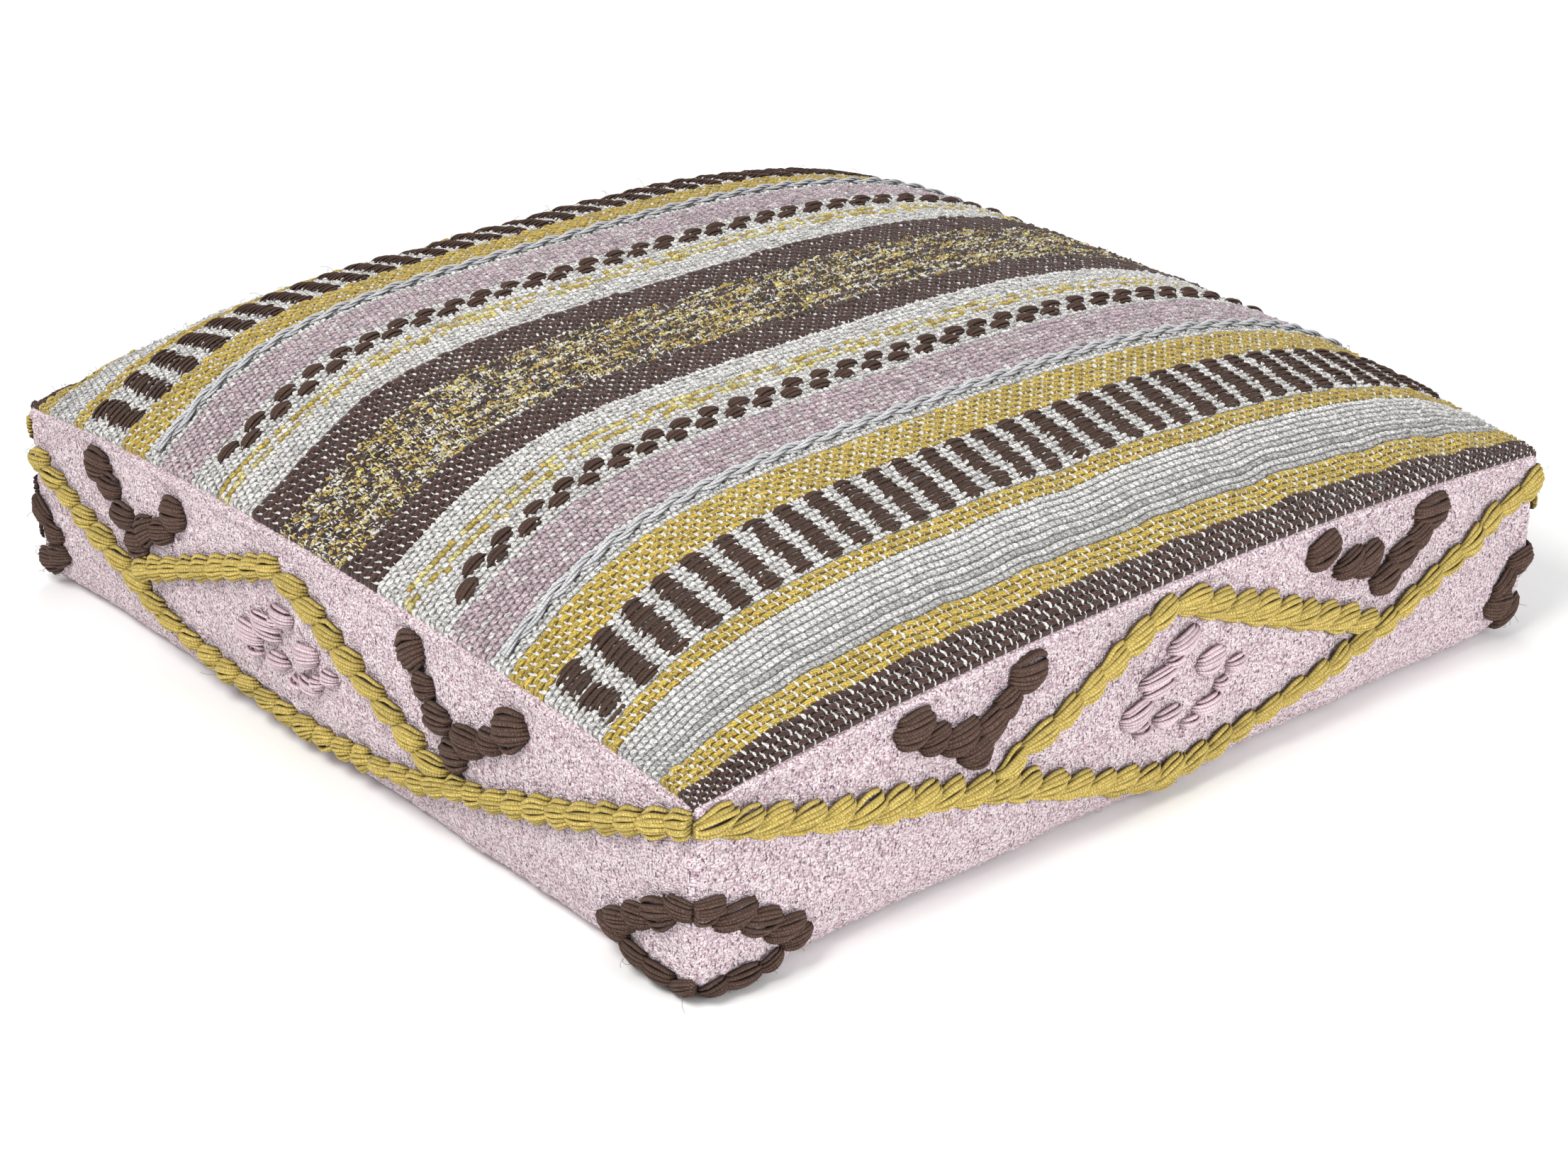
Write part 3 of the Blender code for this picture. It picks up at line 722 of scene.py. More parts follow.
def bead_colours(kinds, places, beads):
    """Colour of each bead, row by row."""
    rows = len(kinds)
    colours = np.zeros((rows, beads, 3))
    for row, kind in enumerate(kinds):
        if kind in ("brown", "mustard", "pink", "white"):
            colours[row] = {"brown": BROWN, "mustard": MUSTARD, "pink": PINK, "white": WHITE}[kind]
            if kind == "pink":
                colours[row][RNG.random(beads) < 0.22] = 0.55 * WHITE + 0.45 * PINK
        elif kind == "mixed":
            pick = RNG.random(beads)
            colours[row] = WHITE
            colours[row][pick < (0.80 if row % 2 else 0.16)] = STRAW
            colours[row][pick < (0.40 if row % 2 else 0.04)] = MUSTARD
        elif kind == "greying":
            share = np.clip((abs(places[row]) - 0.258) / 0.008, 0, 1)
            fade = share * (0.10 + 0.30 * (row % 2)) * (0.75 + 0.25 * RNG.random((beads, 1)))
            colours[row] = WHITE * (1 - fade)
        else:
            palette = np.array([WHITE, STRAW, STRAW, MUSTARD, BROWN, BROWN, GREY])
            main = palette[int(RNG.choice([1, 2, 0, 4, 1, 3]))]
            colours[row] = main
            loud = RNG.random(beads) < 0.58
            colours[row][loud] = palette[RNG.integers(0, len(palette), loud.sum())]
    colours *= 1 + 0.09 * RNG.standard_normal((rows, beads, 1))
    colours *= 1 + 0.03 * RNG.standard_normal((rows, 1, 1))
    return np.clip(colours, 0, 0.94)


def arc_table(along_x):
    """Arc length from the middle, for shares 0 to 1 of the half width or half depth."""
    ticks = np.linspace(0, 1, 3001)
    line = top_base(ticks, 0 * ticks) if along_x else top_base(0 * ticks, ticks)
    lengths = np.linalg.norm(np.diff(line, axis=0), axis=1)
    return ticks, np.concatenate([[0], np.cumsum(lengths)])


def even_shares(along_x, pitch, cells):
    """Shares at even arc steps from edge to edge, a whole number of pitches in all."""
    ticks, arc = arc_table(along_x)
    whole = 2 * round(arc[-1] / pitch)
    places = np.linspace(-arc[-1], arc[-1], whole * cells + 1)
    return whole, np.sign(places) * np.interp(np.abs(places), arc, ticks)


def row_kinds(middles):
    """Kind of each row of beads, from the rows' places across the stripes."""
    kinds = [stripe_at(place) for place in middles]
    for row in range(len(kinds)):
        from_edge = min(row, len(kinds) - 1 - row)
        if from_edge < EDGE_BROWN_ROWS:
            kinds[row] = "brown"
        elif from_edge < EDGE_BROWN_ROWS + EDGE_MUSTARD_ROWS:
            kinds[row] = "mustard"
    return kinds


def make_top():
    """Woven top in four strips, with every bead of yarn in relief."""
    rows, v_shares = even_shares(False, ROW_PITCH, ROW_CELLS)
    beads, u_shares = even_shares(True, BEAD_PITCH, BEAD_CELLS)
    u, v = np.meshgrid(u_shares, v_shares)
    base = TOP.at(u, v)
    normal = -grid_normals(base)
    normal *= np.sign(normal[..., 2:])

    middles = v_shares[ROW_CELLS // 2::ROW_CELLS] * HALF
    kinds = row_kinds(middles)
    plump = np.array([ROW_KINDS[kind][0] for kind in kinds])
    line = np.arange(rows * ROW_CELLS + 1)
    row_of = np.minimum(line // ROW_CELLS, rows - 1)
    up = (line - row_of * ROW_CELLS) / ROW_CELLS
    row_cells = np.array([BEAD_CELLS if kind in ROUND_BEADS else BEAD_CELLS // 2
                          for kind in kinds])
    cells = row_cells[row_of][:, None]
    shifted = np.arange(beads * BEAD_CELLS + 1)[None] + (row_of[:, None] % 2) * BEAD_CELLS // 2
    shifted = shifted + (cells < BEAD_CELLS) * (row_of[:, None] * 2 % 3)
    across = (shifted % cells) / cells
    number = shifted // cells

    numbers = 2 * beads + 4
    size = 1 + 0.28 * RNG.standard_normal((rows, numbers))
    hump = np.sqrt(np.clip(1 - (2 * np.abs(up - 0.5)) ** 2, 0, 1))[:, None]
    girth = 0.20 + 0.80 * np.sqrt(np.clip(1 - (2 * np.abs(across - 0.5)) ** 2.4, 0, 1))
    relief = 0.00145 * plump[row_of][:, None] * hump * girth
    relief *= np.clip(size[row_of[:, None], number], 0.6, 1.5)
    relief += np.where(cells < BEAD_CELLS, 0.00030, 0.00014) * RNG.standard_normal(relief.shape)
    from_edge = (1 - np.maximum(np.abs(u), np.abs(v))) * HALF
    close = smooth_step(from_edge / 0.0012)
    place = base + normal * (relief * close - 0.0012 * (1 - close))[..., None]
    sway = 0.00022 * RNG.standard_normal(place.shape[:2] + (2,))
    place[..., :2] += sway * close[..., None]
    for edge, inward in ((0, SEAM_TUCK), (-1, -SEAM_TUCK)):
        place[edge, :] += [0, inward, -2 * SEAM_TUCK]
        place[:, edge] += [inward, 0, -2 * SEAM_TUCK]

    colours = bead_colours(kinds, middles, numbers)
    row, bead, cells = row_of[:-1, None], number[:-1, :-1], cells[:-1]
    yarn = colours[row, bead]
    spotted = SPECKLE[RNG.integers(0, len(SPECKLE), (rows, numbers))][row, bead]
    plain = np.array([kind not in ROUND_BEADS for kind in kinds])[row][..., None]
    mottled = np.array([kind == "melange" for kind in kinds])[row][..., None]
    dash = np.where(mottled, spotted, np.where(plain, yarn * 0.50, WHITE))
    # Painted shade colour for the valleys between beads, from each row's kind
    shade_between_beads = np.broadcast_to(np.array([ROW_KINDS[kind][3] for kind in kinds])[row], yarn.shape)
    wide = np.array([ROW_KINDS[kind][1 if abs(middle) < INNER_STRIPES else 2]
                     for kind, middle in zip(kinds, middles)])
    uneven = 1 + 0.25 * RNG.standard_normal((rows, numbers))
    width = wide[row] * uneven[row, bead].clip(0.5, 1.5)
    across, up = across[:-1, :-1], up[:-1, None] + 0 * across[:-1, :-1]
    weave = np.stack([np.stack([across + over / cells, up + down / ROW_CELLS, width], -1)
                      for over, down in ((1, 0), (1, 1), (0, 1), (0, 0))], 2)

    splits = [round(rows * share / 4) * ROW_CELLS for share in range(5)]
    for patch, (low, high) in enumerate(zip(splits, splits[1:])):
        data = {"weave": weave[low:high].reshape(-1, 3)}
        for key, values in (("yarn", yarn), ("dash", dash), ("shade_between_beads", shade_between_beads)):
            data[key] = np.repeat(values[low:high].reshape(-1, 3), 4, axis=0)
        points = place[low:high + 1]
        cover_piece(f"top_cloth_{patch + 1}", points, [grid_faces(*points.shape[:2])[:, ::-1]],
                    "weave", ("top_panel",), fill=0.9, corner_data=data)


def blob_strands(centre, angle, length, width, count, rise, steps=9, lean=0.0, tail=1.0, base=0.0,
                 late=1.0):
    """Strands of one satin blob in the flat: (count, steps, 3) of along, across and height.

    lean moves the strands' ends across the blob, tail narrows the end that they start from, and
    late moves the highest place towards the other end.
    """
    q = np.linspace(-1, 1, count)[:, None] if count > 1 else np.zeros((1, 1))
    t = np.linspace(0, 1, steps)[None]
    reach = length / 2 * np.sqrt(1 - 0.42 * q ** 2) * (1 + 0.05 * RNG.standard_normal(q.shape))
    along = reach * (2 * t - 1) * np.ones_like(q)
    spread = (0.70 + 0.30 * np.sin(math.pi * t)) * (tail + (1 - tail) * smooth_step(t * 1.5))
    across = width / 2 * q * spread * 0.86 + lean * width * (smooth_step(t) - 0.5)
    across = across + 0.03 * width * RNG.standard_normal(q.shape) * np.sin(math.pi * t)
    arch = np.clip(np.sin(math.pi * t ** late), 0, 1) ** 0.5 * np.sqrt(1 - 0.72 * q ** 2)
    height = base + rise * arch * (1 + 0.06 * RNG.standard_normal(q.shape))
    c, s = math.cos(angle), math.sin(angle)
    x = centre[0] + along * c - across * s
    y = centre[1] + along * s + across * c
    return np.stack([x, y, height], -1)


def strand_radius(pitch, shape):
    """Strand radius along its length, thinner where it goes into the cloth."""
    t = np.linspace(0, 1, shape[1])
    body = pitch / 2 * 1.22 * (0.55 + 0.45 * np.sin(math.pi * t) ** 0.4)
    return np.broadcast_to(body, shape).copy()


def lay_floats(name, blobs, pitch):
    """Puts flat strand shapes on the top as one piece."""
    flat = np.concatenate(blobs)
    flat = flat[np.abs(flat[..., 0]).max(1) < 0.296]
    paths, normals = TOP.raised(flat[..., 0], flat[..., 1], flat[..., 2] + 0.0002)
    radius = strand_radius(pitch, paths.shape[:2])
    batch = {"paths": paths, "normals": normals, "radius": radius, "flat": 0.9, "sides": 5}
    tubes(name, [batch], "brown")


def make_floats():
    """Dark blocks and dots woven into the top's pale stripes."""
    columns = [(mirror, (number - 15.5) * 0.0186) for mirror in (-1, 1) for number in range(32)]
    blobs = []
    for mirror, x in columns:
        for row in range(9):
            jitter = 0.0006 * RNG.standard_normal(2)
            length = 0.0132 + 0.0008 * RNG.standard_normal()
            centre = (x + jitter[0], mirror * (0.1955 + row * 0.00455) + jitter[1] * 0.3)
            blobs.append(blob_strands(centre, 0.04 * jitter[0], length, 0.0052, 3, 0.0022, 7))
    lay_floats("block_floats", blobs, 0.0052 / 3)
    blobs = []
    for mirror, x in columns:
        for y, aside in ((0.1006, -0.0046), (0.1090, 0.0047)):
            centre = (x + aside + 0.0004 * RNG.standard_normal(),
                      mirror * y + 0.0005 * RNG.standard_normal())
            blobs.append(blob_strands(centre, 0.08 * RNG.standard_normal(), 0.0128, 0.0080, 4,
                                      0.0024, 8))
    lay_floats("dot_floats", blobs, 0.0080 / 4)


def make_cords():
    """Twisted grey and white cord laid along each pink stripe's outer edge."""
    steps = 420
    x = np.linspace(-0.2955, 0.2955, steps)
    for name, mirror in (("cord_front", -1), ("cord_back", 1)):
        paths, normals, sizes = [], [], []
        for ply in range(2):
            phase = 2 * math.pi * x / 0.036 + ply * math.pi
            for strand in range(4):
                own = strand / 4 * 2 * math.pi + 2 * math.pi * x / 0.030
                y = mirror * 0.1575 + 0.0021 * np.sin(phase) + 0.0011 * np.cos(own)
                out = 0.0020 + 0.0012 * np.cos(phase) + 0.0009 * np.sin(own)
                place, normal = TOP.raised(x, y, out)
                paths.append(place)
                normals.append(normal)
                sizes.append(np.full(steps, 0.00085))
        tubes(name, [{"paths": np.array(paths), "normals": np.array(normals),
                      "radius": np.array(sizes)}], "cord")


# ---- sides and base

SIDE_COLUMNS = 500
SIDE_ROWS = 96
EDGE_ROLL = 0.0085


def make_side(side):
    """Nubby side cloth with a rolled, ribbed edge under the top's seam."""
    back = side.name == "back"
    share = np.linspace(-1, 1, SIDE_COLUMNS + 1)
    share = np.sign(share) * (1 - (1 - np.abs(share)) ** 1.06)
    quarter = 0.0 if back else side.low_round * math.pi / 2
    level = np.linspace(0, 1, SIDE_ROWS + 1)
    grid_share, grid_level = np.meshgrid(share, level)
    seam = side.seam(grid_share)
    closed = smooth_step((np.abs(grid_share) - 0.945) / 0.012)
    bottom = (HEM_UPPER - (HEM_UPPER - HEM_LOWER + 0.0008) * closed) if back else side.low_round
    total = quarter + seam - bottom
    run = grid_level * total
    height = np.where(run < quarter, side.low_round * (1 - np.cos(run / side.low_round)),
                      bottom + run - quarter)
    base, normal = side.at(grid_share, height)
    rough = RNG.standard_normal(grid_share.shape)
    for axis in (0, 1):
        rough = (np.roll(rough, 1, axis) + 2 * rough + np.roll(rough, -1, axis)) / 4
    nub = rough / rough.std()
    from_seam = seam - height
    roll = np.clip(from_seam / EDGE_ROLL, 0, 1)
    in_roll = smooth_step((1 - roll) * 6)
    along = grid_share * HALF
    rib = np.sin(2 * math.pi * (along / 0.0042 + from_seam / 0.0075))
    relief = 0.00024 * nub * (1 - 0.6 * in_roll)
    relief += 0.0012 * np.sin(math.pi * roll) * (from_seam < EDGE_ROLL)
    relief += 0.00035 * rib * in_roll
    relief -= 0.0016 * smooth_step(1 - from_seam / 0.0022)
    from_end = (1 - np.abs(grid_share)) * HALF
    relief -= 0.0030 * smooth_step(1 - from_end / 0.0030)
    relief += 0.0010 * smooth_step(1 - np.abs(from_end - 0.006) / 0.005)
    relief = np.where(run < 0.004, relief * run / 0.004, relief)
    place = base + normal * relief[..., None]
    heading = side.out_of(np.array([1.0, 0.0, 0.0]))
    dip = 0.0030 * smooth_step(1 - from_end / 0.0012)
    place -= (np.sign(grid_share) * dip)[..., None] * heading
    place[-1] -= 0.003 * normal[-1]
    place[..., 2] = np.maximum(place[..., 2], 0.0002)
    # low: painted shade, darker in the dents, along the ends, under the seam and in the valleys of
    # the ribs
    low = np.clip(0.20 - nub * 0.24, 0, 0.7)
    from_edge = np.minimum(from_end / 0.0018, from_seam / 0.0014)
    low = np.maximum(low, 0.9 * smooth_step(1 - from_edge))
    low = np.where(in_roll > 0.5, np.maximum(low * 0.6, np.clip(-rib * 0.55, 0, 1)), low)
    data = {"weave": np.stack([low, along, height], -1).reshape(-1, 3)}
    cover_piece("side_cloth_" + side.name, place, [grid_faces(*place.shape[:2])[:, ::-1]],
                "boucle", ("side_panel_" + side.name,), fill=0.9, point_data=data)


BASE_CELLS = 150
BASE_TURN_ROWS = 14


def make_base():
    """Underside, turned up at the back to meet the zip."""
    u = np.linspace(-1, 1, BASE_CELLS + 1)
    row = np.arange(BASE_CELLS + 1)[:, None]
    flat = BASE_CELLS - BASE_TURN_ROWS
    along = np.minimum(row / flat, 1)
    quarter = ROUND_BACK * math.pi / 2
    run = np.clip((row - flat) / BASE_TURN_ROWS, 0, 1) * (quarter + HEM_LOWER - ROUND_BACK)
    bend = np.minimum(run / ROUND_BACK, math.pi / 2)
    y = ((2 * HALF - ROUND_FRONT - ROUND_BACK) * along - (HALF - ROUND_FRONT)
         + ROUND_BACK * np.sin(bend))
    z = ROUND_BACK * (1 - np.cos(bend)) + np.maximum(run - quarter, 0)
    lean = np.arcsin(np.clip((ROUND_FRONT - z) / ROUND_FRONT, 0, 1))
    half = HALF - ROUND_FRONT * (1 - np.cos(lean))
    near = np.maximum(0, 1 - 2 * row / flat) ** 16 * CORNER_PULL * np.abs(u) ** 16
    z = z + 0.0003 + 0.00025 * RNG.random((BASE_CELLS + 1, BASE_CELLS + 1))
    place = np.stack([u * half - np.sign(u) * near, y + near, z], -1)
    cover_piece("base_cloth", place, [grid_faces(*place.shape[:2])], "base",
                ("bottom_panel",), thickness=0.0018)


# ---- embroidery

def smooth_path(corners, pieces):
    """Points of a curve through every corner."""
    corners = [np.asarray(corner, float) for corner in corners]
    ends = [2 * corners[0] - corners[1], *corners, 2 * corners[-1] - corners[-2]]
    path = [corners[0]]
    for a, b, c, d in zip(ends, ends[1:], ends[2:], ends[3:]):
        for k in range(1, pieces + 1):
            t = k / pieces
            bend = (2 * a - 5 * b + 4 * c - d) * t * t + (3 * b - a - 3 * c + d) * t ** 3
            path.append((2 * b + (c - a) * t + bend) / 2)
    return np.array(path)


def spaced(path, pitch):
    """Even places along a path: middles and headings."""
    lengths = np.linalg.norm(np.diff(path, axis=0), axis=1)
    arc = np.concatenate([[0], np.cumsum(lengths)])
    count = max(1, round(arc[-1] / pitch))
    middles = (np.arange(count) + 0.5) * arc[-1] / count

    def places(runs):
        return np.stack([np.interp(runs, arc, path[:, k]) for k in (0, 1)], -1)

    way = places(middles + 0.002) - places(middles - 0.002)
    return places(middles), np.arctan2(way[:, 1], way[:, 0]), arc[-1] / count


def lay(side, name, shapes, colour):
    """Puts flat strand shapes on a side's cloth as one piece."""
    batches = []
    for flat, width in shapes:
        share = np.clip(flat[..., 0] / HALF, -0.9985, 0.9985)
        paths, normals = side.at(share, np.maximum(flat[..., 1], 0.001), flat[..., 2])
        paths[..., 2] = np.maximum(paths[..., 2], 0.0012)
        radius = strand_radius(width / len(flat), paths.shape[:2])
        batches.append({"paths": paths, "normals": normals, "radius": radius})
    name = f"{name}_{side.name}"
    tubes(name, batches, colour, (name,))


def rope_shapes(path):
    """Comma-shaped lobes along a rope: a slim tail below and a round head above, to the right."""
    centres, headings, pitch = spaced(path, 0.0186)
    shapes = []
    for centre, heading in zip(centres, headings):
        if math.cos(heading) < 0:
            heading += math.pi
        heading = math.atan2(math.sin(heading), math.cos(heading))
        length = pitch * (1.58 if heading < 0 else 1.44) * (1 + 0.06 * RNG.standard_normal())
        width = 0.0168 * (1 + 0.06 * RNG.standard_normal())
        angle = 0.12 + 0.90 * heading if heading < 0 else 0.05 + 0.10 * heading
        flat = blob_strands(centre, angle, length, width, 7, 0.0056, 11,
                            lean=0.32, tail=0.42, base=0.0002, late=1.45)
        shapes.append((flat, width))
    return shapes


def make_ropes(side):
    corners = [side.spot(*share) for share in side.pattern["long_rope"]]
    path = smooth_path(corners, 6)
    lay(side, "rope_long", rope_shapes(path), "mustard")
    first, peak, last = [side.spot(*share) for share in side.pattern["peak_rope"]]
    shapes = []
    for low, high in ((first, peak), (last, peak)):
        way = (high - low) / np.linalg.norm(high - low)
        shapes += rope_shapes(np.array([low + way * 0.010, high - way * 0.003]))
    lay(side, "rope_peak", shapes, "mustard")


def chain_shapes(path, pitch, length, width, swing):
    """Brown blobs along a path, their strands turned left and right of it by turns."""
    centres, headings, _ = spaced(path, pitch)
    shapes = []
    for number, (centre, heading) in enumerate(zip(centres, headings)):
        if math.cos(heading) < 0:
            heading += math.pi
        heading = math.atan2(math.sin(heading), abs(math.cos(heading)))
        turn = swing * (1 if number % 2 else -1) + 0.12 * RNG.standard_normal() - heading * 0.75
        size = 1 + 0.10 * RNG.standard_normal()
        flat = blob_strands(centre, heading + turn, length * size, width * size, 8, 0.0046, 10,
                            lean=0.12, base=0.0003)
        shapes.append((flat, width * size))
    return shapes


def make_vees(side):
    for which, shares in zip("ab", side.pattern["vees"]):
        tip, low, other = [side.spot(*share) for share in shares]
        shapes = []
        for end in (tip, other):
            sides = 1 if end[0] > low[0] else -1
            for share, length, width in ((1.0, 0.026, 0.0225), (0.66, 0.021, 0.0165),
                                         (0.35, 0.026, 0.0185)):
                centre = low + (end - low) * share + 0.0018 * RNG.standard_normal(2)
                angle = 0.15 * sides * (1 - share) + 0.04 + 0.16 * RNG.standard_normal()
                size = 1 + 0.06 * RNG.standard_normal()
                flat = blob_strands(centre, angle, length * size, width, 8, 0.0052, 10,
                                    lean=0.12, base=0.0003)
                shapes.append((flat, width))
        flat = blob_strands(low, 0.25, 0.025, 0.0190, 8, 0.0050, 10, base=0.0003)
        shapes.append((flat, 0.0190))
        lay(side, "vee_" + which, shapes, "brown")


def make_rings(side):
    for end, sign, points in zip(("near", "far"), (-1, 1), side.pattern["ring"]):
        corners = np.array([side.spot(share * sign, height) for share, height in points])
        if side.floor:
            shapes = chain_shapes(corners + [[0, 0.012], [0, 0.006], [0, 0.004], [0, 0], [0, 0]],
                                  0.0165, 0.0230, 0.0125, 0.2)
        else:
            shapes = chain_shapes(corners, 0.0170, 0.0245, 0.0160, 0.16)
        lay(side, "ring_" + end, shapes, "brown")


def make_cluster(side):
    share, _, wide, tall = side.pattern["cluster"]
    peak = side.spot(*side.pattern["peak_rope"][1])[1]
    low = min(side.spot(*point)[1] for point in side.pattern["long_rope"])
    middle_z = (peak + low) / 2 + 0.002
    room = (peak - low - 0.046) / 0.066
    shapes = []
    for x, z, length, width, count in CLUSTER_BLOBS:
        centre = (share * HALF + x * wide / 1000, middle_z + z * tall * min(1, room) / 1000)
        flat = blob_strands(centre, 0.10 * RNG.standard_normal(), length / 1000, width / 1000,
                            count, 0.0046, 9, lean=0.1, base=0.0004)
        shapes.append((flat, width / 1000))
    lay(side, "cluster", shapes, "pink")


def make_fuzz():
    """Loose fibres that stand up from the embroidery, the seam and the dark stripes."""
    groups = {"brown": [], "mustard": [], "white": []}

    def fibres(place, normal, spread, group, reach):
        count, steps = len(place), 6
        t = np.linspace(0, 1, steps)[None, :, None]
        drift = unit(RNG.standard_normal((count, 1, 3)))
        curl = RNG.standard_normal((count, 1, 3)) * 0.35
        size = reach * (0.5 + RNG.random((count, 1, 1)))
        path = (place[:, None] + normal[:, None] * (0.0022 * np.sin(math.pi * t) * spread - 0.0002)
                + size * (drift * t + curl * t ** 2))
        groups[group].append((path, np.broadcast_to(normal[:, None], path.shape)))

    for side in SIDES:
        near, far = side.pattern["ring"]
        for sign, route, group, count in ((1, side.pattern["long_rope"], "mustard", 90),
                                          (-1, near, "brown", 24), (1, far, "brown", 24)):
            corners = np.array([side.spot(share * sign, height) for share, height in route])
            ticks = RNG.random(count) * (len(corners) - 1)
            x, y = (np.interp(ticks, np.arange(len(corners)), corners[:, k]) for k in (0, 1))
            y = np.maximum(y + 0.005 * RNG.standard_normal(count), 0.012)
            place, normal = side.at(np.clip(x / HALF, -0.99, 0.99), y, 0.0045)
            fibres(place, normal, 1.0, group, 0.0055)
    x = HALF * 0.96 * (2 * RNG.random(420) - 1)
    edge = np.where(RNG.random(420) < 0.5, -1, 1) * HALF * (0.972 + 0.02 * RNG.random(420))
    fibres(*TOP.raised(x, edge, 0.0012 + 0 * x), 0.8, "white", 0.0040)
    y = HALF * 0.95 * (2 * RNG.random(420) - 1)
    fibres(*TOP.raised(x, y, 0.0012 + 0 * x), 0.8, "brown", 0.0045)
    for group, parts in groups.items():
        paths = np.concatenate([part[0] for part in parts])
        normals = np.concatenate([part[1] for part in parts])
        paths[..., 2] = np.maximum(paths[..., 2], 0.0008)
        radius = np.full(paths.shape[:2], 0.00011)
        batch = {"paths": paths, "normals": normals, "radius": radius, "sides": 3}
        tubes("loose_fibres_" + group, [batch], "cord" if group == "white" else group)


# ---- inside and zip

PAD_LEVELS = 16
PAD_TICKS = 61
PAD_SPLIT = 0.050
PAD_ROUND = 0.016


def make_inside():
    """Lined pad of loose fill under the cover."""
    ticks = np.sin(np.linspace(-1, 1, PAD_TICKS) * math.pi / 2)
    u, v = np.meshgrid(ticks, ticks)
    ones = np.ones(PAD_TICKS - 1)
    ring_u = np.concatenate([ticks[:-1], ones, ticks[:0:-1], -ones])
    ring_v = np.concatenate([-ones, ticks[:-1], ones, ticks[:0:-1]])
    share = np.linspace(0, 1, PAD_LEVELS + 1)[:, None]
    for name, clear, sink, lift, part in (("fill_pad", 0.0078, 0.0057, 0.0039, 0),
                                          ("pad_liner_upper", 0.0062, 0.0042, 0.0028, 1),
                                          ("pad_liner_lower", 0.0062, 0.0042, 0.0028, -1)):
        half = HALF - clear
        rim = top_base(ring_u, ring_v)[..., 2] - sink
        low = PAD_SPLIT + 0.0002 if part > 0 else lift
        high = PAD_SPLIT - 0.0002 if part < 0 else rim
        z = low + (high - low) * share + 0 * rim
        lean = np.arcsin(np.clip((PAD_ROUND - (z - lift)) / PAD_ROUND, 0, 1))
        inner = half - PAD_ROUND * (1 - np.cos(lean))
        points = [np.stack([ring_u * inner, ring_v * inner, z], -1).reshape(-1, 3)]
        index = np.arange(z.size).reshape(z.shape)
        here, up = index[:-1], index[1:]
        faces = [np.stack([here, np.roll(here, -1, 1), np.roll(up, -1, 1), up], -1).reshape(-1, 4)]
        if part >= 0:
            top = np.stack([u * half, v * half, top_base(u, v)[..., 2] - sink], -1)
            faces.append(grid_faces(PAD_TICKS, PAD_TICKS)[:, ::-1] + z.size)
            points.append(top.reshape(-1, 3))
        if part <= 0:
            half -= PAD_ROUND
            start = sum(map(len, points))
            faces.append(grid_faces(PAD_TICKS, PAD_TICKS) + start)
            points.append(np.stack([u * half, v * half, lift + 0 * u], -1).reshape(-1, 3))
        points = np.concatenate(points)
        first, back = weld(points, 0.00005)
        cover_piece(name + "_soft", points[first], [back[group] for group in faces],
                    "liner" if part else "fill", (name,), fill=0.85,
                    thickness=0.0007 if part else None)


COIL_TURNS, COIL_STEPS = 330, 8
COIL_HALF = 0.2495


def make_zip():
    """Nylon coil zip, low on the back side."""
    phase = np.linspace(0, 2 * math.pi * COIL_TURNS, COIL_TURNS * COIL_STEPS + 1)
    x = np.linspace(-COIL_HALF, COIL_HALF, len(phase))
    for name, sign in (("upper", 1), ("lower", -1)):
        z = ZIP_HEIGHT + sign * (CHAIN_SLOT + 0.0013 - 0.00098 * np.cos(phase))
        y = TAPE_FRONT + 0.0013 + 0.00068 * np.sin(phase)
        path = np.stack([x, y, z], -1)[None]
        normal = np.broadcast_to(np.array([1.0, 0, 0]), path.shape)
        radius = np.full(path.shape[:2], 0.00032)
        tubes("zip_coil_fine_" + name,
              [{"paths": path, "normals": normal, "radius": radius, "sides": 5}], "nylon",
              ("zip_coil_" + name,))
        node = "zip_tape_" + name
        low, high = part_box(node)
        gx, gz = np.meshgrid(np.linspace(low.x, high.x, 291), np.linspace(low.z, high.z, 13))
        ripple = 0.00012 * np.sin(gx / 0.0035) * np.sin(gz / 0.0011)
        points = np.stack([gx, high.y - 0.0002 + ripple, gz], -1)
        cover_piece("zip_tape_fine_" + name, points, [grid_faces(*gx.shape)], "tape", (node,),
                    thickness=0.0004)
    for name in ("zip_slider", "zip_pull", "zip_stop_closed", "zip_stop_open"):
        node = NODES[name]
        node.data.materials.clear()
        node.data.materials.append(PAINT["metal"][0])
        rounding = node.modifiers.new("rounding", "BEVEL")
        rounding.width = 0.00028
        rounding.segments = 2
        rounding.limit_method = "ANGLE"


# ---- stage

FLOOR_HALF = 60
FLOOR_GLOW = (0.55, 1.6)
SKY_LIGHT = 0.60
LAMP_AIM = (0, 0, 0.08)
LAMPS = [
    ("key", (-1.3, -0.4, 1.7), 0.9, 32, (1, 0.99, 0.97)),
    ("front", (0.2, -2.0, 0.8), 1.4, 20, (1, 1, 1)),
    ("rim", (0.9, 1.4, 1.5), 1.2, 9, (0.97, 0.98, 1)),
]
CAMERA_LENS = 75.05
CAMERA_PLACE = (-1.08618, -1.28459, 0.84294)
CAMERA_HEADING = (0.58165, 0.68190, -0.44350)


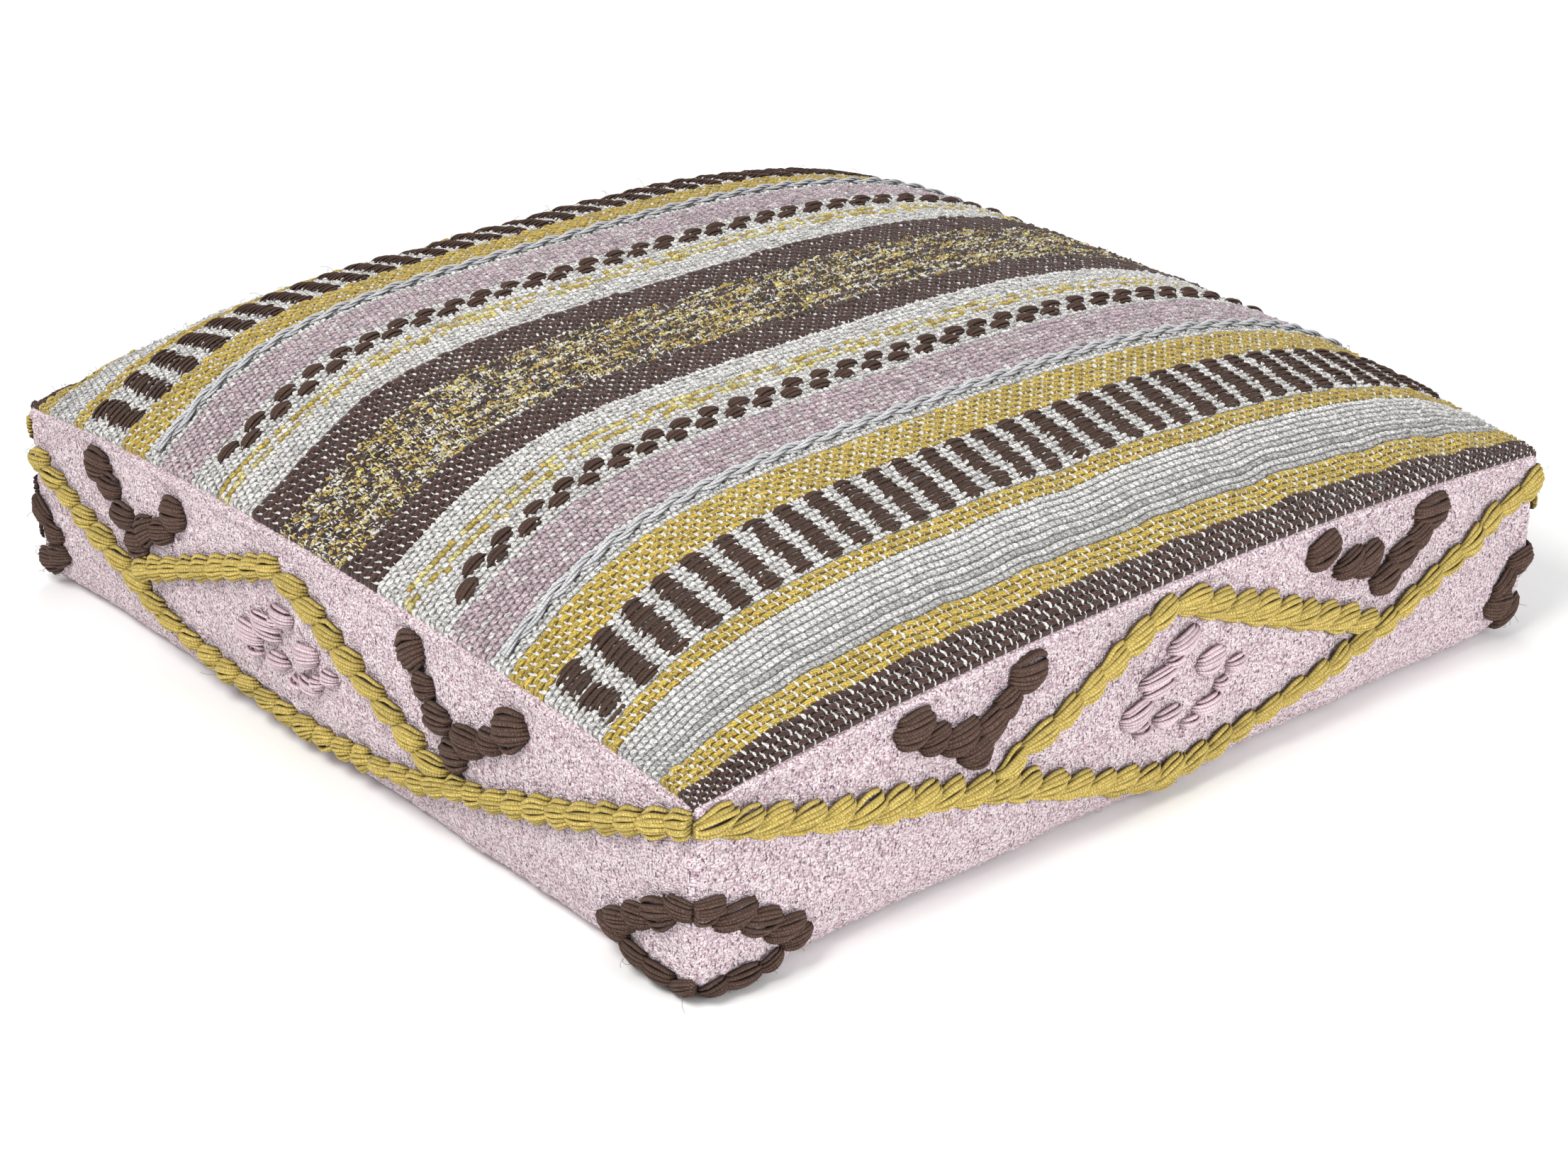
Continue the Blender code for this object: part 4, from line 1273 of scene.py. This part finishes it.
def make_stage():
    """Pale floor, even light, three soft lamps and the photo's camera."""
    paint = Paint("pale_floor", 0.8)
    pale = paint.mix(paint.own.noise(3.0), (0.93, 0.93, 0.93), (0.95, 0.95, 0.95))
    paint.feed("Base Color", pale)
    away = paint.node("VectorMath", {0: paint.own}, out="Value", operation="LENGTH")
    seen = paint.node("LightPath", out="Is Camera Ray")
    paint.feed("Emission Strength", seen * away.ramp(*FLOOR_GLOW))
    paint.shader.inputs["Emission Color"].default_value = (1, 1, 1, 1)
    points = [(x * FLOOR_HALF, y * FLOOR_HALF, -0.0006)
              for x, y in ((-1, -1), (1, -1), (1, 1), (-1, 1))]
    mesh_piece("floor", points, [np.array([[0, 1, 2, 3]])], paint.material)

    scene = bpy.context.scene
    scene.view_settings.view_transform = "Standard"
    scene.view_settings.look = "None"
    world = bpy.data.worlds.new("studio")
    scene.world = world
    world.use_nodes = True
    tree = world.node_tree
    sky = tree.nodes["Background"]
    sky.inputs["Color"].default_value = (1, 1, 1, 1)
    seen = tree.nodes.new("ShaderNodeLightPath")
    level = tree.nodes.new("ShaderNodeMapRange")
    level.inputs["To Min"].default_value = SKY_LIGHT
    level.inputs["To Max"].default_value = 1.0
    tree.links.new(seen.outputs["Is Camera Ray"], level.inputs["Value"])
    tree.links.new(level.outputs["Result"], sky.inputs["Strength"])
    for name, place, size, power, tint in LAMPS:
        light = bpy.data.lights.new(name, "AREA")
        light.shape = "DISK"
        light.size = size
        light.energy = power
        light.color = tint
        lamp = bpy.data.objects.new(name, light)
        lamp.location = place
        aim = Vector(LAMP_AIM) - Vector(place)
        lamp.rotation_euler = aim.to_track_quat("-Z", "Y").to_euler()
        scene.collection.objects.link(lamp)

    lens = bpy.data.cameras.new("camera")
    lens.lens = CAMERA_LENS
    lens.clip_start = 0.05
    camera = bpy.data.objects.new("camera", lens)
    camera.location = CAMERA_PLACE
    camera.rotation_euler = Vector(CAMERA_HEADING).to_track_quat("-Z", "Y").to_euler()
    scene.collection.objects.link(camera)
    scene.camera = camera


settle_cover()
make_top()
make_floats()
make_cords()
for one_side in SIDES:
    make_side(one_side)
    make_ropes(one_side)
    make_vees(one_side)
    make_rings(one_side)
    make_cluster(one_side)
make_fuzz()
make_base()
make_inside()
make_zip()
make_stage()
